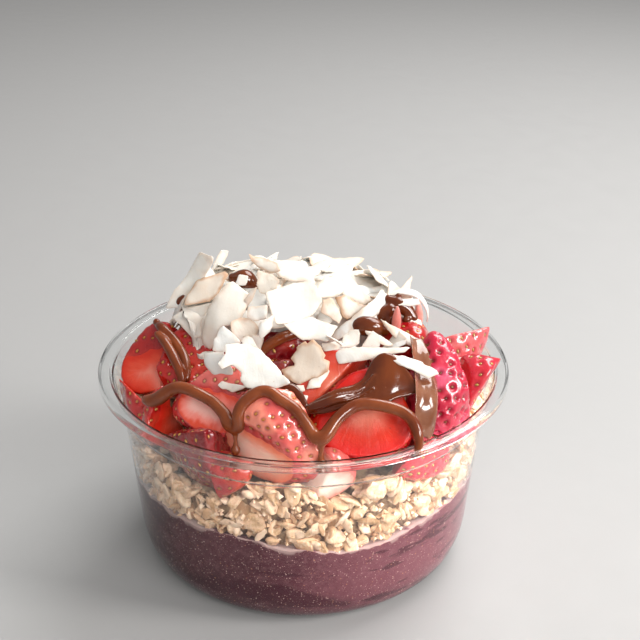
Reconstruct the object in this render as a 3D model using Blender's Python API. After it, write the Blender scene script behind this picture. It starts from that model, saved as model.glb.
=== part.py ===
"""Acai bowl: a clear plastic bowl with its layers and toppings, standing on its foot at z = 0.

All sizes below are millimetres; link() turns each finished solid into metres. +Z is up,
the origin is the centre of the foot, and -Y is the side the sauce was swung over last.
"""
import math
import random

import bmesh
import bpy
from mathutils import Matrix, Vector, noise
from mathutils.bvhtree import BVHTree

MM = 0.001
GAP = 0.3

# Bowl: a thin turned shell with a foot, a stacking step, a rim band and a turned-down flange.
SEGMENTS = 48
WALL = 0.7
RIM_R = 75.0
RIM_H = 75.0
LIP_DROP = 2.2
FLANGE_IN_R = 70.2
FLANGE_IN_H = 74.2
STEP_H = 63.0
STEP_R = 68.0
STEP_IN_R = 66.9
TAPER_H = 17.0
TAPER_R = 62.4
FOOT_R = 49.7
BASE_LIFT = 1.0

# Layers: the height of the fruit puree and of the oats, at the wall and in the middle.
ACAI_H = 38.4
ACAI_WAVE = 0.9
OATS_EDGE_H = 61.0
OATS_MID_H = 67.0

# Strawberry outline: (part of the length, part of the greatest radius) from stem end to tip.
BERRY_PROFILE = (
    (0.0, 0.58), (0.06, 0.80), (0.17, 0.95), (0.31, 1.0),
    (0.48, 0.94), (0.65, 0.77), (0.81, 0.53), (0.93, 0.29), (1.0, 0.0),
)
BERRY_SIDES = 14

# Strawberry pieces: name: (middle, length, width, direction of the tip, cuts). A cut is the
# outward direction of a cut face and how far it lies from the middle. A later piece gives
# way to an earlier one.
BERRIES = {
    "front_right": ((19, -42, 73), 40, 34, (-0.90, -0.20, -0.38), (((0.02, -0.80, 0.60), 8),)),
    "front_mid": (
        (-7, -46, 70), 41, 36, (0.84, -0.30, -0.34),
        (((-0.56, -0.80, -0.18), 11), ((0.1, 0.7, 0.7), 12)),
    ),
    "front_left_top": (
        (-31, -37, 73), 31, 28, (-0.85, 0.20, -0.20),
        (((-0.25, -0.75, 0.60), 6), ((0.4, 0.3, -0.85), 8)),
    ),
    "front_left_low": ((-32, -42, 62), 38, 28, (-0.78, 0.55, -0.10), (((0.3, 0.6, 0.75), 10),)),
    "right_tall": ((47, -30, 79), 36, 25, (-0.12, 0.35, 0.93), (((0.94, 0.26, 0.16), 8),)),
    "left_wedge": (
        (-49, -10, 77), 26, 33, (-0.13, 0.62, 0.76),
        (((-0.31, -0.70, 0.59), 2), ((0.76, -0.52, 0.32), 2)),
    ),
    "left_low": ((-53, -18, 67), 30, 27, (0.10, -0.30, -0.94), (((0.6, 0.45, 0.6), 8),)),
    "left_front_low": (
        (-45, -31, 67), 30, 25, (-0.20, -0.50, -0.80),
        (((0.80, -0.56, 0.10), 5), ((0.2, 0.9, 0.3), 8)),
    ),
    "left_inner": ((-36, -12, 78), 36, 31, (0.72, -0.55, -0.20), (((-0.07, -0.50, 0.86), 6),)),
    "mid_front": ((11, -33, 79), 36, 33, (0.90, 0.10, 0.20), (((0.10, -0.78, 0.62), 7),)),
    "right_edge": ((60, -19, 72), 29, 28, (-0.20, -0.42, -0.88), (((-0.3, 0.8, 0.2), 8),)),
    "right_point": (
        (53, 0, 76), 31, 25, (0.84, 0.14, 0.50),
        (((-0.20, 0.40, 0.89), 4), ((0.2, 0.9, -0.3), 8)),
    ),
    "front_low_left": ((-27, -54, 60), 21, 17, (0.8, -0.4, 0.3), (((-0.35, -0.92, 0.1), 5),)),
    "front_low_mid": ((9, -57, 61), 22, 20, (-0.5, 0.3, -0.6), (((0.15, -0.97, -0.1), 5),)),
    "right_low": ((39, -44, 63), 28, 24, (-0.85, -0.5, -0.1), (((0.3, 0.5, 0.8), 6),)),
    "under_flakes": ((-13, -26, 75), 31, 27, (0.6, -0.1, 0.5), (((0.5, 0.6, -0.6), 9),)),
    "mid_dark": ((-8, -9, 78), 34, 29, (-0.75, -0.15, 0.30), (((0.2, 0.6, -0.77), 8),)),
    "mid_right": ((34, -6, 83), 32, 27, (0.3, -0.6, 0.5), (((-0.6, 0.5, 0.6), 7),)),
    "mid_right_cut": ((14, -2, 81), 30, 27, (-0.2, 0.5, 0.4), (((0.1, -0.75, 0.65), 6),)),
    "back_right": ((30, 40, 70), 32, 28, (0.5, 0.5, 0.7), (((-0.1, 0.6, 0.8), 8),)),
    "back_mid_right": ((10, 47, 69), 35, 28, (0.85, 0.3, -0.2), (((0.0, 0.78, 0.62), 8),)),
    "back_mid": ((-13, 46, 69), 32, 29, (0.2, 0.5, 0.85), (((-0.35, 0.90, 0.20), 9),)),
    "back_left": ((-34, 36, 68), 32, 28, (-0.8, 0.4, -0.4), (((-0.2, 0.55, 0.80), 7),)),
    "back_left_side": ((-49, 17, 67), 30, 26, (-0.5, 0.2, 0.8), (((-0.35, 0.66, 0.66), 7),)),
    "inner_back_left": ((-27, 15, 77), 33, 28, (0.5, 0.6, 0.1), (((-0.6, -0.5, 0.6), 8),)),
    "inner_back": ((0, 24, 77), 33, 29, (-0.3, 0.8, 0.2), (((0.4, 0.5, 0.76), 8),)),
    "inner_back_right": ((24, 20, 77), 31, 27, (0.7, 0.5, 0.3), (((0.2, 0.6, 0.77), 7),)),
}

# Chocolate sauce: strands as waypoints with a radius at each, laid over the fruit.
STRANDS = {
    "sauce_front": (
        ((-51, -36, 77), 1.9), ((-48, -38, 80), 2.1), ((-43, -39, 84), 1.8), ((-37, -42, 84), 1.6),
        ((-29, -46, 81), 1.6), ((-22.5, -51, 75.5), 1.7), ((-18, -50, 80), 1.6),
        ((-13, -49, 85), 1.7), ((-6, -52, 84), 1.6), ((0, -56, 81), 1.6),
        ((5.5, -60, 76.5), 1.8), ((11, -56, 82), 1.6), ((18, -52, 85), 1.7),
        ((26, -53, 85), 1.6), ((34, -55, 83), 1.6), ((37, -59, 79), 1.6), ((37.5, -61, 76.5), 2.3),
    ),
    "sauce_left": (
        ((-50, -4, 89), 2.3), ((-48.5, -9, 87), 2.5), ((-45, -16, 84), 2.6), ((-42.5, -21, 82), 2.4),
        ((-41.5, -24, 80), 2.0),
    ),
    "sauce_right": (
        ((36.5, -27, 92), 2.8), ((37, -34, 90), 3.0), ((38, -41, 86), 2.9), ((38.5, -47, 80), 2.6),
        ((39, -51, 75), 2.1),
    ),
    "sauce_mid": (
        ((-17, -40, 86), 1.5), ((-9, -43, 87), 1.6), ((-2, -47, 86), 1.6),
    ),
    "sauce_hole": (
        ((-15, -19, 93), 1.5), ((-9, -15, 95), 1.8), ((-2, -10, 96), 1.6), ((3, -7, 95), 1.4),
    ),
}
DRIPS = {
    "sauce_front": (((-22, -52, 76), 7.0, 1.8), ((6, -61, 77), 9.0, 2.1)),
}
STRAND_SIDES = 8

# Dollop of sauce: its outline in its own plane, the lean of that plane and its thickness.
DOLLOP_MIDDLE = (17, -42, 88)
DOLLOP_OUT = (0.05, -0.66, 0.75)
DOLLOP_CORNERS = (
    (-19, -11), (-8, -9), (2, -8.5), (12, -6), (20, -3), (15, 4), (9, 10), (4, 5), (-4, -2), (-13, -7),
)

# Large coconut chips lying clear of the heap: (middle, length, width, direction of the length,
# direction the face looks, bend radius, outline seed).
CHIPS = {
    "coconut_chip_1": ((-16, -38, 89), 28, 14, (0.84, -0.50, -0.20), (-0.10, -0.51, 0.85), 60, 3),
    "coconut_chip_2": ((-27, -30, 86), 13, 9, (0.60, -0.60, -0.50), (-0.25, -0.85, 0.4), -40, 5),
    "coconut_chip_3": ((3, -34, 91), 18, 13, (0.45, -0.55, 0.62), (-0.30, -0.70, 0.65), 35, 8),
    "coconut_chip_4": ((41, -36, 90), 25, 6, (0.93, -0.25, -0.30), (0.1, -0.5, 0.86), 30, 11),
    "coconut_chip_5": ((57, -14, 78), 10, 5, (0.98, 0.0, 0.05), (0.0, -0.35, 0.94), 50, 13),
}
CHIP_T = 1.0

# Heap of coconut chips: one solid around the open place in its middle.
HEAP_MIDDLE = (-7, -21)
HEAP_HOLE_R = 5.5
HEAP_REACH = (
    (0, 40), (8, 35), (18, 40), (27, 49), (38, 56), (55, 61), (75, 62), (105, 60), (125, 57), (146, 49),
    (163, 37), (180, 32), (200, 28), (222, 26), (250, 25), (270, 24), (291, 25), (310, 22),
    (326, 22), (340, 30), (352, 42), (360, 40),
)
HEAP_TOP_H = 105.0
HEAP_PEAK = (-1, 12)
HEAP_SPAN = (48, 34)
HEAP_FRONT_SLOPE = 0.27


def clear_scene():
    for obj in list(bpy.data.objects):
        bpy.data.objects.remove(obj, do_unlink=True)


def material(name, colour, roughness, transmission=0.0):
    made = bpy.data.materials.new(name)
    made.use_nodes = True
    made.diffuse_color = (*colour, 1.0)
    shader = made.node_tree.nodes["Principled BSDF"]
    shader.inputs["Base Color"].default_value = (*colour, 1.0)
    shader.inputs["Roughness"].default_value = roughness
    shader.inputs["Transmission Weight"].default_value = transmission
    return made


def link(name, bm, surface, smooth_angle=None):
    """Turns a closed bmesh in millimetres into a named object in metres."""
    bmesh.ops.recalc_face_normals(bm, faces=bm.faces)
    bmesh.ops.scale(bm, vec=(MM, MM, MM), verts=bm.verts)
    mesh = bpy.data.meshes.new(name)
    bm.to_mesh(mesh)
    bm.free()
    obj = bpy.data.objects.new(name, mesh)
    bpy.context.scene.collection.objects.link(obj)
    mesh.materials.append(surface)
    if smooth_angle is not None:
        mesh.shade_smooth()
        mesh.set_sharp_from_angle(angle=math.radians(smooth_angle))
    return obj


def turned(profile, segments):
    """A closed body of revolution; profile runs from axis to axis as (radius, height)."""
    bm = bmesh.new()
    rings = []
    for radius, height in profile:
        if radius < 1e-6:
            rings.append([bm.verts.new((0, 0, height))] * segments)
            continue
        turn = [2 * math.pi * k / segments for k in range(segments)]
        rings.append([bm.verts.new((radius * math.cos(a), radius * math.sin(a), height))
                      for a in turn])
    for low, high in zip(rings, rings[1:]):
        add_band(bm, low, high)
    return bm


def add_band(bm, low, high):
    """Faces between two closed rings; a ring may be one point repeated."""
    count = len(low)
    for k in range(count):
        corners = (low[k], low[(k + 1) % count], high[(k + 1) % count], high[k])
        distinct = list(dict.fromkeys(corners))
        if len(distinct) > 2:
            bm.faces.new(distinct)


def corner_curve(start, middle, end, steps):
    """Points of a quadratic curve, without its two ends."""
    points = []
    for k in range(1, steps):
        t = k / steps
        points.append(tuple(
            (1 - t) ** 2 * a + 2 * t * (1 - t) * b + t * t * c
            for a, b, c in zip(start, middle, end)
        ))
    return points


def corner_radius():
    """Radius at which the wall's line meets the foot plane."""
    return TAPER_R - (STEP_IN_R - TAPER_R) / (STEP_H - TAPER_H) * TAPER_H


def wall_inside(height):
    """Inner radius of the straight wall at a height, the rim band left out."""
    slope = (STEP_IN_R - TAPER_R) / (STEP_H - TAPER_H)
    return TAPER_R + slope * (height - TAPER_H) - WALL


def inner_corner():
    """Points of the bowl's inner bottom corner, from the wall down to the base."""
    points = corner_curve((TAPER_R, TAPER_H), (corner_radius(), 0.0), (FOOT_R, 0.0), 4)
    return [(radius - WALL, height + WALL * 0.75) for radius, height in points]


def build_bowl():
    corner = (corner_radius(), 0.0)
    outer = [(0.0, BASE_LIFT), (FOOT_R - 7.0, BASE_LIFT), (FOOT_R - 5.5, 0.0), (FOOT_R, 0.0)]
    outer += corner_curve((FOOT_R, 0.0), corner, (TAPER_R, TAPER_H), 4)
    outer += [(TAPER_R, TAPER_H), (STEP_IN_R, STEP_H - 0.8), (STEP_R, STEP_H)]
    outer += [(FLANGE_IN_R, RIM_H - 1.8), (RIM_R - WALL - 0.35, RIM_H - 1.0)]
    outer += [(RIM_R - WALL, RIM_H - LIP_DROP), (RIM_R, RIM_H - LIP_DROP)]
    inner = [(RIM_R, RIM_H - 0.7), (RIM_R - 0.6, RIM_H), (FLANGE_IN_R - 0.2, FLANGE_IN_H)]
    inner += [(FLANGE_IN_R - WALL - 0.1, FLANGE_IN_H - 0.8), (STEP_R - WALL, STEP_H + 0.3)]
    inner += [(STEP_IN_R - WALL, STEP_H - 0.6), (TAPER_R - WALL, TAPER_H)]
    inner += inner_corner()
    inner += [(FOOT_R - 0.4, WALL), (FOOT_R - 5.2, WALL), (FOOT_R - 7.0, BASE_LIFT + WALL)]
    inner += [(0.0, BASE_LIFT + WALL)]
    clear = material("clear_plastic", (0.92, 0.95, 0.95), 0.06, 1.0)
    link("bowl", turned(outer + inner, SEGMENTS), clear, 25)


def acai_top(x, y):
    """Height of the join between the puree and the oats."""
    wave = noise.noise(Vector((x * 0.045, y * 0.045, 3.1)))
    return ACAI_H + ACAI_WAVE * (wave + 0.4 * noise.noise(Vector((x * 0.13, y * 0.13, 7.7))))


def ring_points(radius, height, segments):
    """One ring of points; height is a number or a function of x and y."""
    points = []
    for k in range(segments):
        turn = 2 * math.pi * k / segments
        x = radius * math.cos(turn)
        y = radius * math.sin(turn)
        points.append((x, y, height(x, y) if callable(height) else height))
    return points


def add_rings(bm, rings):
    """Bands through a list of rings of points; each end closes with a fan to its middle."""
    made = [[bm.verts.new(point) for point in ring] for ring in rings]
    for low, high in zip(made, made[1:]):
        add_band(bm, low, high)
    return made


def cap(bm, ring, height):
    middle = bm.verts.new((0, 0, height))
    add_band(bm, ring, [middle] * len(ring))


def build_acai():
    bm = bmesh.new()
    rings = []
    floor = BASE_LIFT + WALL + GAP
    rings.append(ring_points(FOOT_R - 6.0, floor, SEGMENTS))
    for radius, height in reversed(inner_corner()):
        rings.append(ring_points(radius - GAP, height + GAP, SEGMENTS))
    rings.append(ring_points(wall_inside(TAPER_H) - GAP, TAPER_H + GAP, SEGMENTS))
    rings.append(ring_points(wall_inside(ACAI_H) - GAP, lambda x, y: acai_top(x, y) - 0.2, SEGMENTS))
    for radius in (52.0, 36.0, 18.0):
        rings.append(ring_points(radius, lambda x, y: acai_top(x, y) - 0.2, SEGMENTS))
    made = add_rings(bm, rings)
    cap(bm, made[0], floor)
    cap(bm, made[-1], acai_top(0, 0) - 0.2)
    link("acai", bm, material("acai", (0.19, 0.07, 0.10), 0.45), 40)


def trim(bm, point, normal):
    """Cuts away what lies beyond a plane and closes the body again."""
    cut = bmesh.ops.bisect_plane(
        bm, geom=bm.verts[:] + bm.edges[:] + bm.faces[:], dist=1e-4,
        plane_co=point, plane_no=normal, clear_outer=True,
    )
    edges = [item for item in cut["geom_cut"] if isinstance(item, bmesh.types.BMEdge)]
    open_edges = [edge for edge in bm.edges if edge.is_boundary]
    if edges and open_edges:
        bmesh.ops.holes_fill(bm, edges=open_edges, sides=0)


def berry_body(middle, length, width, tip, cuts):
    """One strawberry with its stem end sliced flat, placed, then cut."""
    profile = [(0.0, 0.0)]
    profile += [(width / 2 * wide, length * along) for along, wide in BERRY_PROFILE]
    bm = turned(profile, BERRY_SIDES)
    bmesh.ops.recalc_face_normals(bm, faces=bm.faces)
    turn = Vector(tip).normalized().to_track_quat("Z", "Y").to_matrix().to_4x4()
    place = Matrix.Translation(middle) @ turn @ Matrix.Translation((0, 0, -0.42 * length))
    bmesh.ops.transform(bm, matrix=place, verts=bm.verts)
    for normal, offset in cuts:
        out = Vector(normal).normalized()
        trim(bm, Vector(middle) + out * offset, out)
    return bm


def trim_to_wall(bm):
    """Keeps a piece inside the flats of the bowl's inner wall."""
    rise = math.atan2(STEP_IN_R - TAPER_R, STEP_H - TAPER_H)
    flat = math.cos(math.pi / SEGMENTS)
    for k in range(SEGMENTS):
        turn = 2 * math.pi * (k + 0.5) / SEGMENTS
        out = Vector((math.cos(turn), math.sin(turn), -math.tan(rise) * flat)).normalized()
        reach = wall_inside(STEP_H) * flat
        point = Vector((reach * math.cos(turn), reach * math.sin(turn), STEP_H)) - out * GAP
        if any((vert.co - point).dot(out) > 0 for vert in bm.verts):
            trim(bm, point, out)


def give_way(bm, other):
    """Trims a convex piece back from an earlier one, along that piece's nearest flat."""
    best = None
    for face in other.faces:
        point = face.calc_center_median()
        depth = max(GAP - (vert.co - point).dot(face.normal) for vert in bm.verts)
        if best is None or depth < best[0]:
            best = (depth, point, face.normal.copy())
    if best[0] > 0:
        trim(bm, best[1] + best[2] * GAP, -best[2])


def build_berries():
    flesh = material("strawberry", (0.62, 0.05, 0.04), 0.35)
    placed = []
    for name, (middle, length, width, tip, cuts) in BERRIES.items():
        bm = berry_body(middle, length, width, tip, cuts)
        trim_to_wall(bm)
        for _, other in placed:
            give_way(bm, other)
        bmesh.ops.remove_doubles(bm, verts=bm.verts, dist=0.05)
        bmesh.ops.dissolve_degenerate(bm, dist=0.02, edges=bm.edges)
        bmesh.ops.recalc_face_normals(bm, faces=bm.faces)
        bm.normal_update()
        placed.append((name, bm))
    soup = [bm.copy() for _, bm in placed]
    for name, bm in placed:
        link("strawberry_" + name, bm, flesh, 30)
    return soup


def tree_of(bodies):
    """One search tree over several bodies."""
    points = []
    faces = []
    for bm in bodies:
        bm.verts.ensure_lookup_table()
        bm.verts.index_update()
        start = len(points)
        points += [vert.co.copy() for vert in bm.verts]
        faces += [[start + vert.index for vert in face.verts] for face in bm.faces]
    return BVHTree.FromPolygons(points, faces, all_triangles=False)


def nearest_level(tree, x, y, start, down, spread):
    """Extreme height met by vertical rays around a point, or None where nothing is met."""
    found = None
    for dx in (-1, -0.5, 0, 0.5, 1):
        for dy in (-1, -0.5, 0, 0.5, 1):
            origin = Vector((x + dx * spread, y + dy * spread, start))
            hit = tree.ray_cast(origin, Vector((0, 0, -1 if down else 1)))[0]
            if hit is None:
                continue
            if found is None:
                found = hit.z
            found = max(found, hit.z) if down else min(found, hit.z)
    return found


def settle(bm, movable, step, tree):
    """Moves chosen corners along step until their faces are a gap clear of the tree."""
    bmesh.ops.triangulate(bm, faces=bm.faces)
    bm.verts.index_update()
    corners = [list(face.verts) for face in bm.faces if movable.issuperset(face.verts)]
    faces = [[vert.index for vert in face] for face in corners]
    toward = step.normalized() * GAP
    for _ in range(40):
        own = BVHTree.FromPolygons([vert.co - toward for vert in bm.verts], faces)
        near = {vert for face, _ in own.overlap(tree) for vert in corners[face]}
        for vert in near:
            vert.co += step


def build_oats(fruit):
    """Rolled oats: sides along the wall, foot on the puree, top dented by the fruit on it."""
    tree = tree_of(fruit)

    def top(x, y):
        reach = min(1.0, math.hypot(x, y) / 66.0)
        level = OATS_MID_H + (OATS_EDGE_H - OATS_MID_H) * reach ** 2
        level += 1.3 * noise.noise(Vector((x * 0.10, y * 0.10, 1.7)))
        under = nearest_level(tree, x, y, 41.0, False, 4.2)
        if under is not None:
            level = min(level, under - GAP - 0.25)
        return max(level, 47.0)

    bm = bmesh.new()
    rings = []
    for radius in (18.0, 36.0, 52.0):
        rings.append(ring_points(radius, lambda x, y: acai_top(x, y) + 0.2, SEGMENTS))
    edge = wall_inside(ACAI_H) - GAP
    rings.append(ring_points(edge, lambda x, y: acai_top(x, y) + 0.2, SEGMENTS))
    rings.append(ring_points(wall_inside(46.0) - GAP, 46.0, SEGMENTS))
    rim = []
    for x, y, level in ring_points(wall_inside(54.0) - GAP, top, SEGMENTS):
        grow = (wall_inside(level) - GAP) / math.hypot(x, y)
        rim.append((x * grow, y * grow, level))
    rings.append(rim)
    for radius in (60.0, 53.5, 46.5, 39.0, 31.0, 22.0, 12.0):
        rings.append(ring_points(radius, top, SEGMENTS))
    made = add_rings(bm, rings)
    cap(bm, made[0], acai_top(0, 0) + 0.2)
    cap(bm, made[-1], top(0, 0))
    upper = {vert for ring in made[6:] for vert in ring}
    settle(bm, upper, Vector((0, 0, -0.3)), tree)
    link("granola", bm, material("granola", (0.62, 0.42, 0.24), 0.8))


def smooth_path(waypoints, steps):
    """Catmull-Rom path through (point, radius) waypoints."""
    knots = [Vector((*point, radius)) for point, radius in waypoints]
    knots = [2 * knots[0] - knots[1]] + knots + [2 * knots[-1] - knots[-2]]
    path = []
    for a, b, c, d in zip(knots, knots[1:], knots[2:], knots[3:]):
        for k in range(steps):
            t = k / steps
            path.append(0.5 * (2 * b + (c - a) * t + (2 * a - 5 * b + 4 * c - d) * t * t
                               + (3 * b - a - 3 * c + d) * t ** 3))
    path.append(knots[-2])
    return [(Vector(knot[:3]), knot[3]) for knot in path]


def lay_on(tree, path, lift):
    """Moves a path so that it rests just clear of the fruit, then evens it out."""
    points = [point.copy() for point, _ in path]
    for _ in range(4):
        for k, (_, radius) in enumerate(path):
            spot, normal, _, distance = tree.find_nearest(points[k])
            side = (points[k] - spot).dot(normal)
            need = radius + lift
            if side < 0 or distance < need:
                points[k] = spot + normal * need if side < 0 else (
                    spot + (points[k] - spot).normalized() * need)
        inner = [(points[k - 1] + 2 * points[k] + points[k + 1]) / 4
                 for k in range(1, len(points) - 1)]
        points[1:-1] = inner
    for k, (_, radius) in enumerate(path):
        spot, normal, _, distance = tree.find_nearest(points[k])
        side = (points[k] - spot).dot(normal)
        if side < 0:
            points[k] = spot + normal * (radius + lift)
        elif distance < radius + lift:
            points[k] = spot + (points[k] - spot).normalized() * (radius + lift)
    return [(point, radius) for point, (_, radius) in zip(points, path)]


def tube(path, sides):
    """A round-ended tube along (point, radius) stations."""
    bm = bmesh.new()
    points = [point for point, _ in path]
    radii = [radius for _, radius in path]
    along = [(b - a).normalized() for a, b in zip(points, points[1:])]
    along = [along[0]] + [(a + b).normalized() for a, b in zip(along, along[1:])] + [along[-1]]
    stations = [(points[0] - along[0] * radii[0] * 0.6, radii[0] * 0.62, along[0])]
    stations += list(zip(points, radii, along))
    stations += [(points[-1] + along[-1] * radii[-1] * 0.6, radii[-1] * 0.62, along[-1])]
    side = along[0].orthogonal().normalized()
    rings = []
    for point, radius, forward in stations:
        side = (side - forward * side.dot(forward)).normalized()
        other = forward.cross(side)
        ring = []
        for k in range(sides):
            turn = 2 * math.pi * k / sides
            ring.append(bm.verts.new(point + (side * math.cos(turn) + other * math.sin(turn)) * radius))
        rings.append(ring)
    for low, high in zip(rings, rings[1:]):
        add_band(bm, low, high)
    add_band(bm, rings[0], [bm.verts.new(stations[0][0] - along[0] * radii[0] * 0.35)] * sides)
    add_band(bm, rings[-1], [bm.verts.new(stations[-1][0] + along[-1] * radii[-1] * 0.35)] * sides)
    return bm


def ease_off(bm, tree):
    """Pushes the few faces of a strand that still touch the fruit out from it."""
    faces = [list(face.verts) for face in bm.faces]
    bm.verts.index_update()
    numbers = [[vert.index for vert in face] for face in faces]
    for _ in range(12):
        own = BVHTree.FromPolygons([vert.co for vert in bm.verts], numbers)
        for vert in {vert for face, _ in own.overlap(tree) for vert in faces[face]}:
            vert.co += tree.find_nearest(vert.co)[1] * 0.15


def build_strands(fruit, sauce):
    tree = tree_of(fruit)
    laid = []
    for name, waypoints in STRANDS.items():
        path = lay_on(tree, smooth_path(waypoints, 3), GAP + 0.3)
        body = tube(path, STRAND_SIDES)
        ease_off(body, tree)
        laid.append(body.copy())
        strand = link(name, body, sauce, 60)
        for number, (start, drop, bulb) in enumerate(DRIPS.get(name, ())):
            top = min((point for point, _ in path), key=lambda point: (point - Vector(start)).length)
            stations = [(top + Vector((0, 0, 0.2)), 1.3)]
            for part, radius in ((0.3, 0.9), (0.62, 0.75), (0.82, bulb * 0.9), (1.0, bulb)):
                stations.append((top + Vector((0, -0.06 * drop * part, -drop * part)), radius))
            drip_path = [stations[0]] + lay_on(tree, stations[1:], GAP + 0.4)
            drip = tube(drip_path, STRAND_SIDES)
            ease_off(drip, tree)
            laid.append(drip.copy())
            tool = link(f"{name}_drip_{number}", drip, sauce)
            tool.hide_render = True
            tool.display_type = "WIRE"
            union = strand.modifiers.new(f"drip_{number}", "BOOLEAN")
            union.operation = "UNION"
            union.solver = "EXACT"
            union.object = tool
    return laid


def build_dollop(fruit, sauce):
    """A folded sheet of sauce: an outline in a leaning plane, drawn up to a ridge."""
    out = Vector(DOLLOP_OUT).normalized()
    across = Vector((1, 0, 0))
    across = (across - out * across.dot(out)).normalized()
    up = out.cross(across)
    tree = tree_of(fruit)
    middle = Vector(DOLLOP_MIDDLE)

    def base(u, v, spread):
        level = None
        for du in (-1, -0.5, 0, 0.5, 1):
            for dv in (-1, -0.5, 0, 0.5, 1):
                start = middle + across * (u + du * spread) + up * (v + dv * spread) + out * 30
                hit = tree.ray_cast(start, -out)[0]
                if hit is not None:
                    height = (hit - middle).dot(out)
                    level = height if level is None else max(level, height)
        return max(-6.0 if level is None else level, -6.0) + GAP + 0.1

    bm = bmesh.new()
    corners = [Vector((*corner, 0)) for corner in DOLLOP_CORNERS]
    outline = []
    for a, b in zip(corners, corners[1:] + corners[:1]):
        outline += [a, a.lerp(b, 0.5)]
    heart = Vector((4, 0, 0))
    lower = []
    upper = []
    for share in (1.0, 0.66, 0.33):
        low_ring = []
        high_ring = []
        for corner in outline:
            spot = heart.lerp(corner, share)
            low = base(spot.x, spot.y, 1.6)
            lift = 1.0 + 3.4 * (1 - share) + 1.1 * math.exp(-((spot.x - 8) / 6) ** 2)
            low_ring.append(bm.verts.new(middle + across * spot.x + up * spot.y + out * low))
            high_ring.append(bm.verts.new(middle + across * spot.x + up * spot.y + out * (low + lift)))
        lower.append(low_ring)
        upper.append(high_ring)
    level = base(heart.x, heart.y, 1.6)
    low_mid = bm.verts.new(middle + across * heart.x + up * heart.y + out * level)
    high_mid = bm.verts.new(middle + across * heart.x + up * heart.y + out * (level + 5.0))
    for rings, centre in ((lower, low_mid), (upper, high_mid)):
        for a, b in zip(rings, rings[1:]):
            add_band(bm, a, b)
        add_band(bm, rings[-1], [centre] * len(outline))
    add_band(bm, lower[0], upper[0])
    settle(bm, set(bm.verts), out * 0.2, tree)
    body = bm.copy()
    link("sauce_dollop", bm, sauce, 60)
    return body


def chip_body(middle, length, width, along, face, bend, seed):
    """A thin shaving with a ragged outline, bent along its length."""
    rng = random.Random(seed)
    look = Vector(face).normalized()
    run = Vector(along)
    run = (run - look * run.dot(look)).normalized()
    side = look.cross(run)
    count = 14
    reach = [rng.uniform(0.82, 1.08) for _ in range(count)]
    bm = bmesh.new()

    def place(u, v, lift):
        sag = u * u / (2 * bend)
        tilt = Vector((-u / bend, 0, 1)).normalized()
        local = Vector((u, v, sag)) + tilt * lift
        return Vector(middle) + run * local.x + side * local.y + look * local.z

    faces = []
    for lift in (0.0, CHIP_T):
        rings = []
        for share in (1.0, 0.5):
            ring = []
            for k in range(count):
                turn = 2 * math.pi * k / count
                u = length / 2 * math.copysign(abs(math.cos(turn)) ** 0.8, math.cos(turn))
                v = width / 2 * math.copysign(abs(math.sin(turn)) ** 0.8, math.sin(turn))
                ring.append(bm.verts.new(place(u * share * reach[k], v * share * reach[k], lift)))
            rings.append(ring)
        add_band(bm, rings[0], rings[1])
        add_band(bm, rings[1], [bm.verts.new(place(0, 0, lift))] * count)
        faces.append(rings[0])
    add_band(bm, faces[0], faces[1])
    bmesh.ops.recalc_face_normals(bm, faces=bm.faces)
    return bm


def build_chips(below, coconut):
    laid = []
    for name, (middle, length, width, along, face, bend, seed) in CHIPS.items():
        bm = chip_body(middle, length, width, along, face, bend, seed)
        tree = tree_of(below + laid)
        look = Vector(face).normalized()
        for _ in range(80):
            close = min(tree.find_nearest(vert.co)[3] for vert in bm.verts)
            if close > GAP and not tree.overlap(tree_of([bm])):
                break
            bmesh.ops.translate(bm, vec=look * 0.35, verts=bm.verts)
        laid.append(bm.copy())
        link(name, bm, coconut, 40)
    return laid


def heap_reach(turn):
    """How far the heap reaches from its middle in one direction, in degrees."""
    for (a, reach_a), (b, reach_b) in zip(HEAP_REACH, HEAP_REACH[1:]):
        if a <= turn <= b:
            return reach_a + (reach_b - reach_a) * (turn - a) / (b - a)
    return HEAP_REACH[0][1]


def build_heap(below, coconut):
    tree = tree_of(below)
    mx, my = HEAP_MIDDLE

    def levels(x, y, edge):
        under = nearest_level(tree, x, y, 130.0, True, 3.0)
        low = max(74.0, under if under is not None else 74.0) + GAP + 0.25
        dx = abs(x - HEAP_PEAK[0]) / HEAP_SPAN[0]
        dy = max(0.0, y - HEAP_PEAK[1]) / HEAP_SPAN[1]
        crown = HEAP_TOP_H - 10.0 * dx ** 3 - 14.0 * dy ** 2
        crown -= HEAP_FRONT_SLOPE * max(0.0, HEAP_PEAK[1] - y)
        crown += 2.2 * noise.noise(Vector((x * 0.11, y * 0.11, 9.3)))
        thick = max(2.0 if edge else 3.5, crown - low)
        return low, low + min(thick, 4.0 if edge else 60.0)

    bm = bmesh.new()
    count = 40
    shares = (0.0, 0.16, 0.32, 0.48, 0.64, 0.79, 0.91, 1.0)
    lower = []
    upper = []
    for share in shares:
        low_ring = []
        high_ring = []
        for k in range(count):
            turn = 360 * k / count
            reach = heap_reach(turn) * (1 + 0.05 * noise.noise(Vector((turn * 0.11, 0, 4.4))))
            radius = HEAP_HOLE_R + (reach - HEAP_HOLE_R) * share
            x = mx + radius * math.cos(math.radians(turn))
            y = my + radius * math.sin(math.radians(turn))
            low, high = levels(x, y, share in (0.0, 1.0))
            low_ring.append(bm.verts.new((x, y, low)))
            high_ring.append(bm.verts.new((x, y, high)))
        lower.append(low_ring)
        upper.append(high_ring)
    for rings in (lower, upper):
        for a, b in zip(rings, rings[1:]):
            add_band(bm, a, b)
    add_band(bm, lower[0], upper[0])
    add_band(bm, lower[-1], upper[-1])
    under = {vert for ring in lower for vert in ring}
    settle(bm, under, Vector((0, 0, 0.3)), tree)
    for low_ring, high_ring in zip(lower, upper):
        for low, high in zip(low_ring, high_ring):
            high.co.z = max(high.co.z, low.co.z + 2.0)
    link("coconut_heap", bm, coconut)


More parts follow.
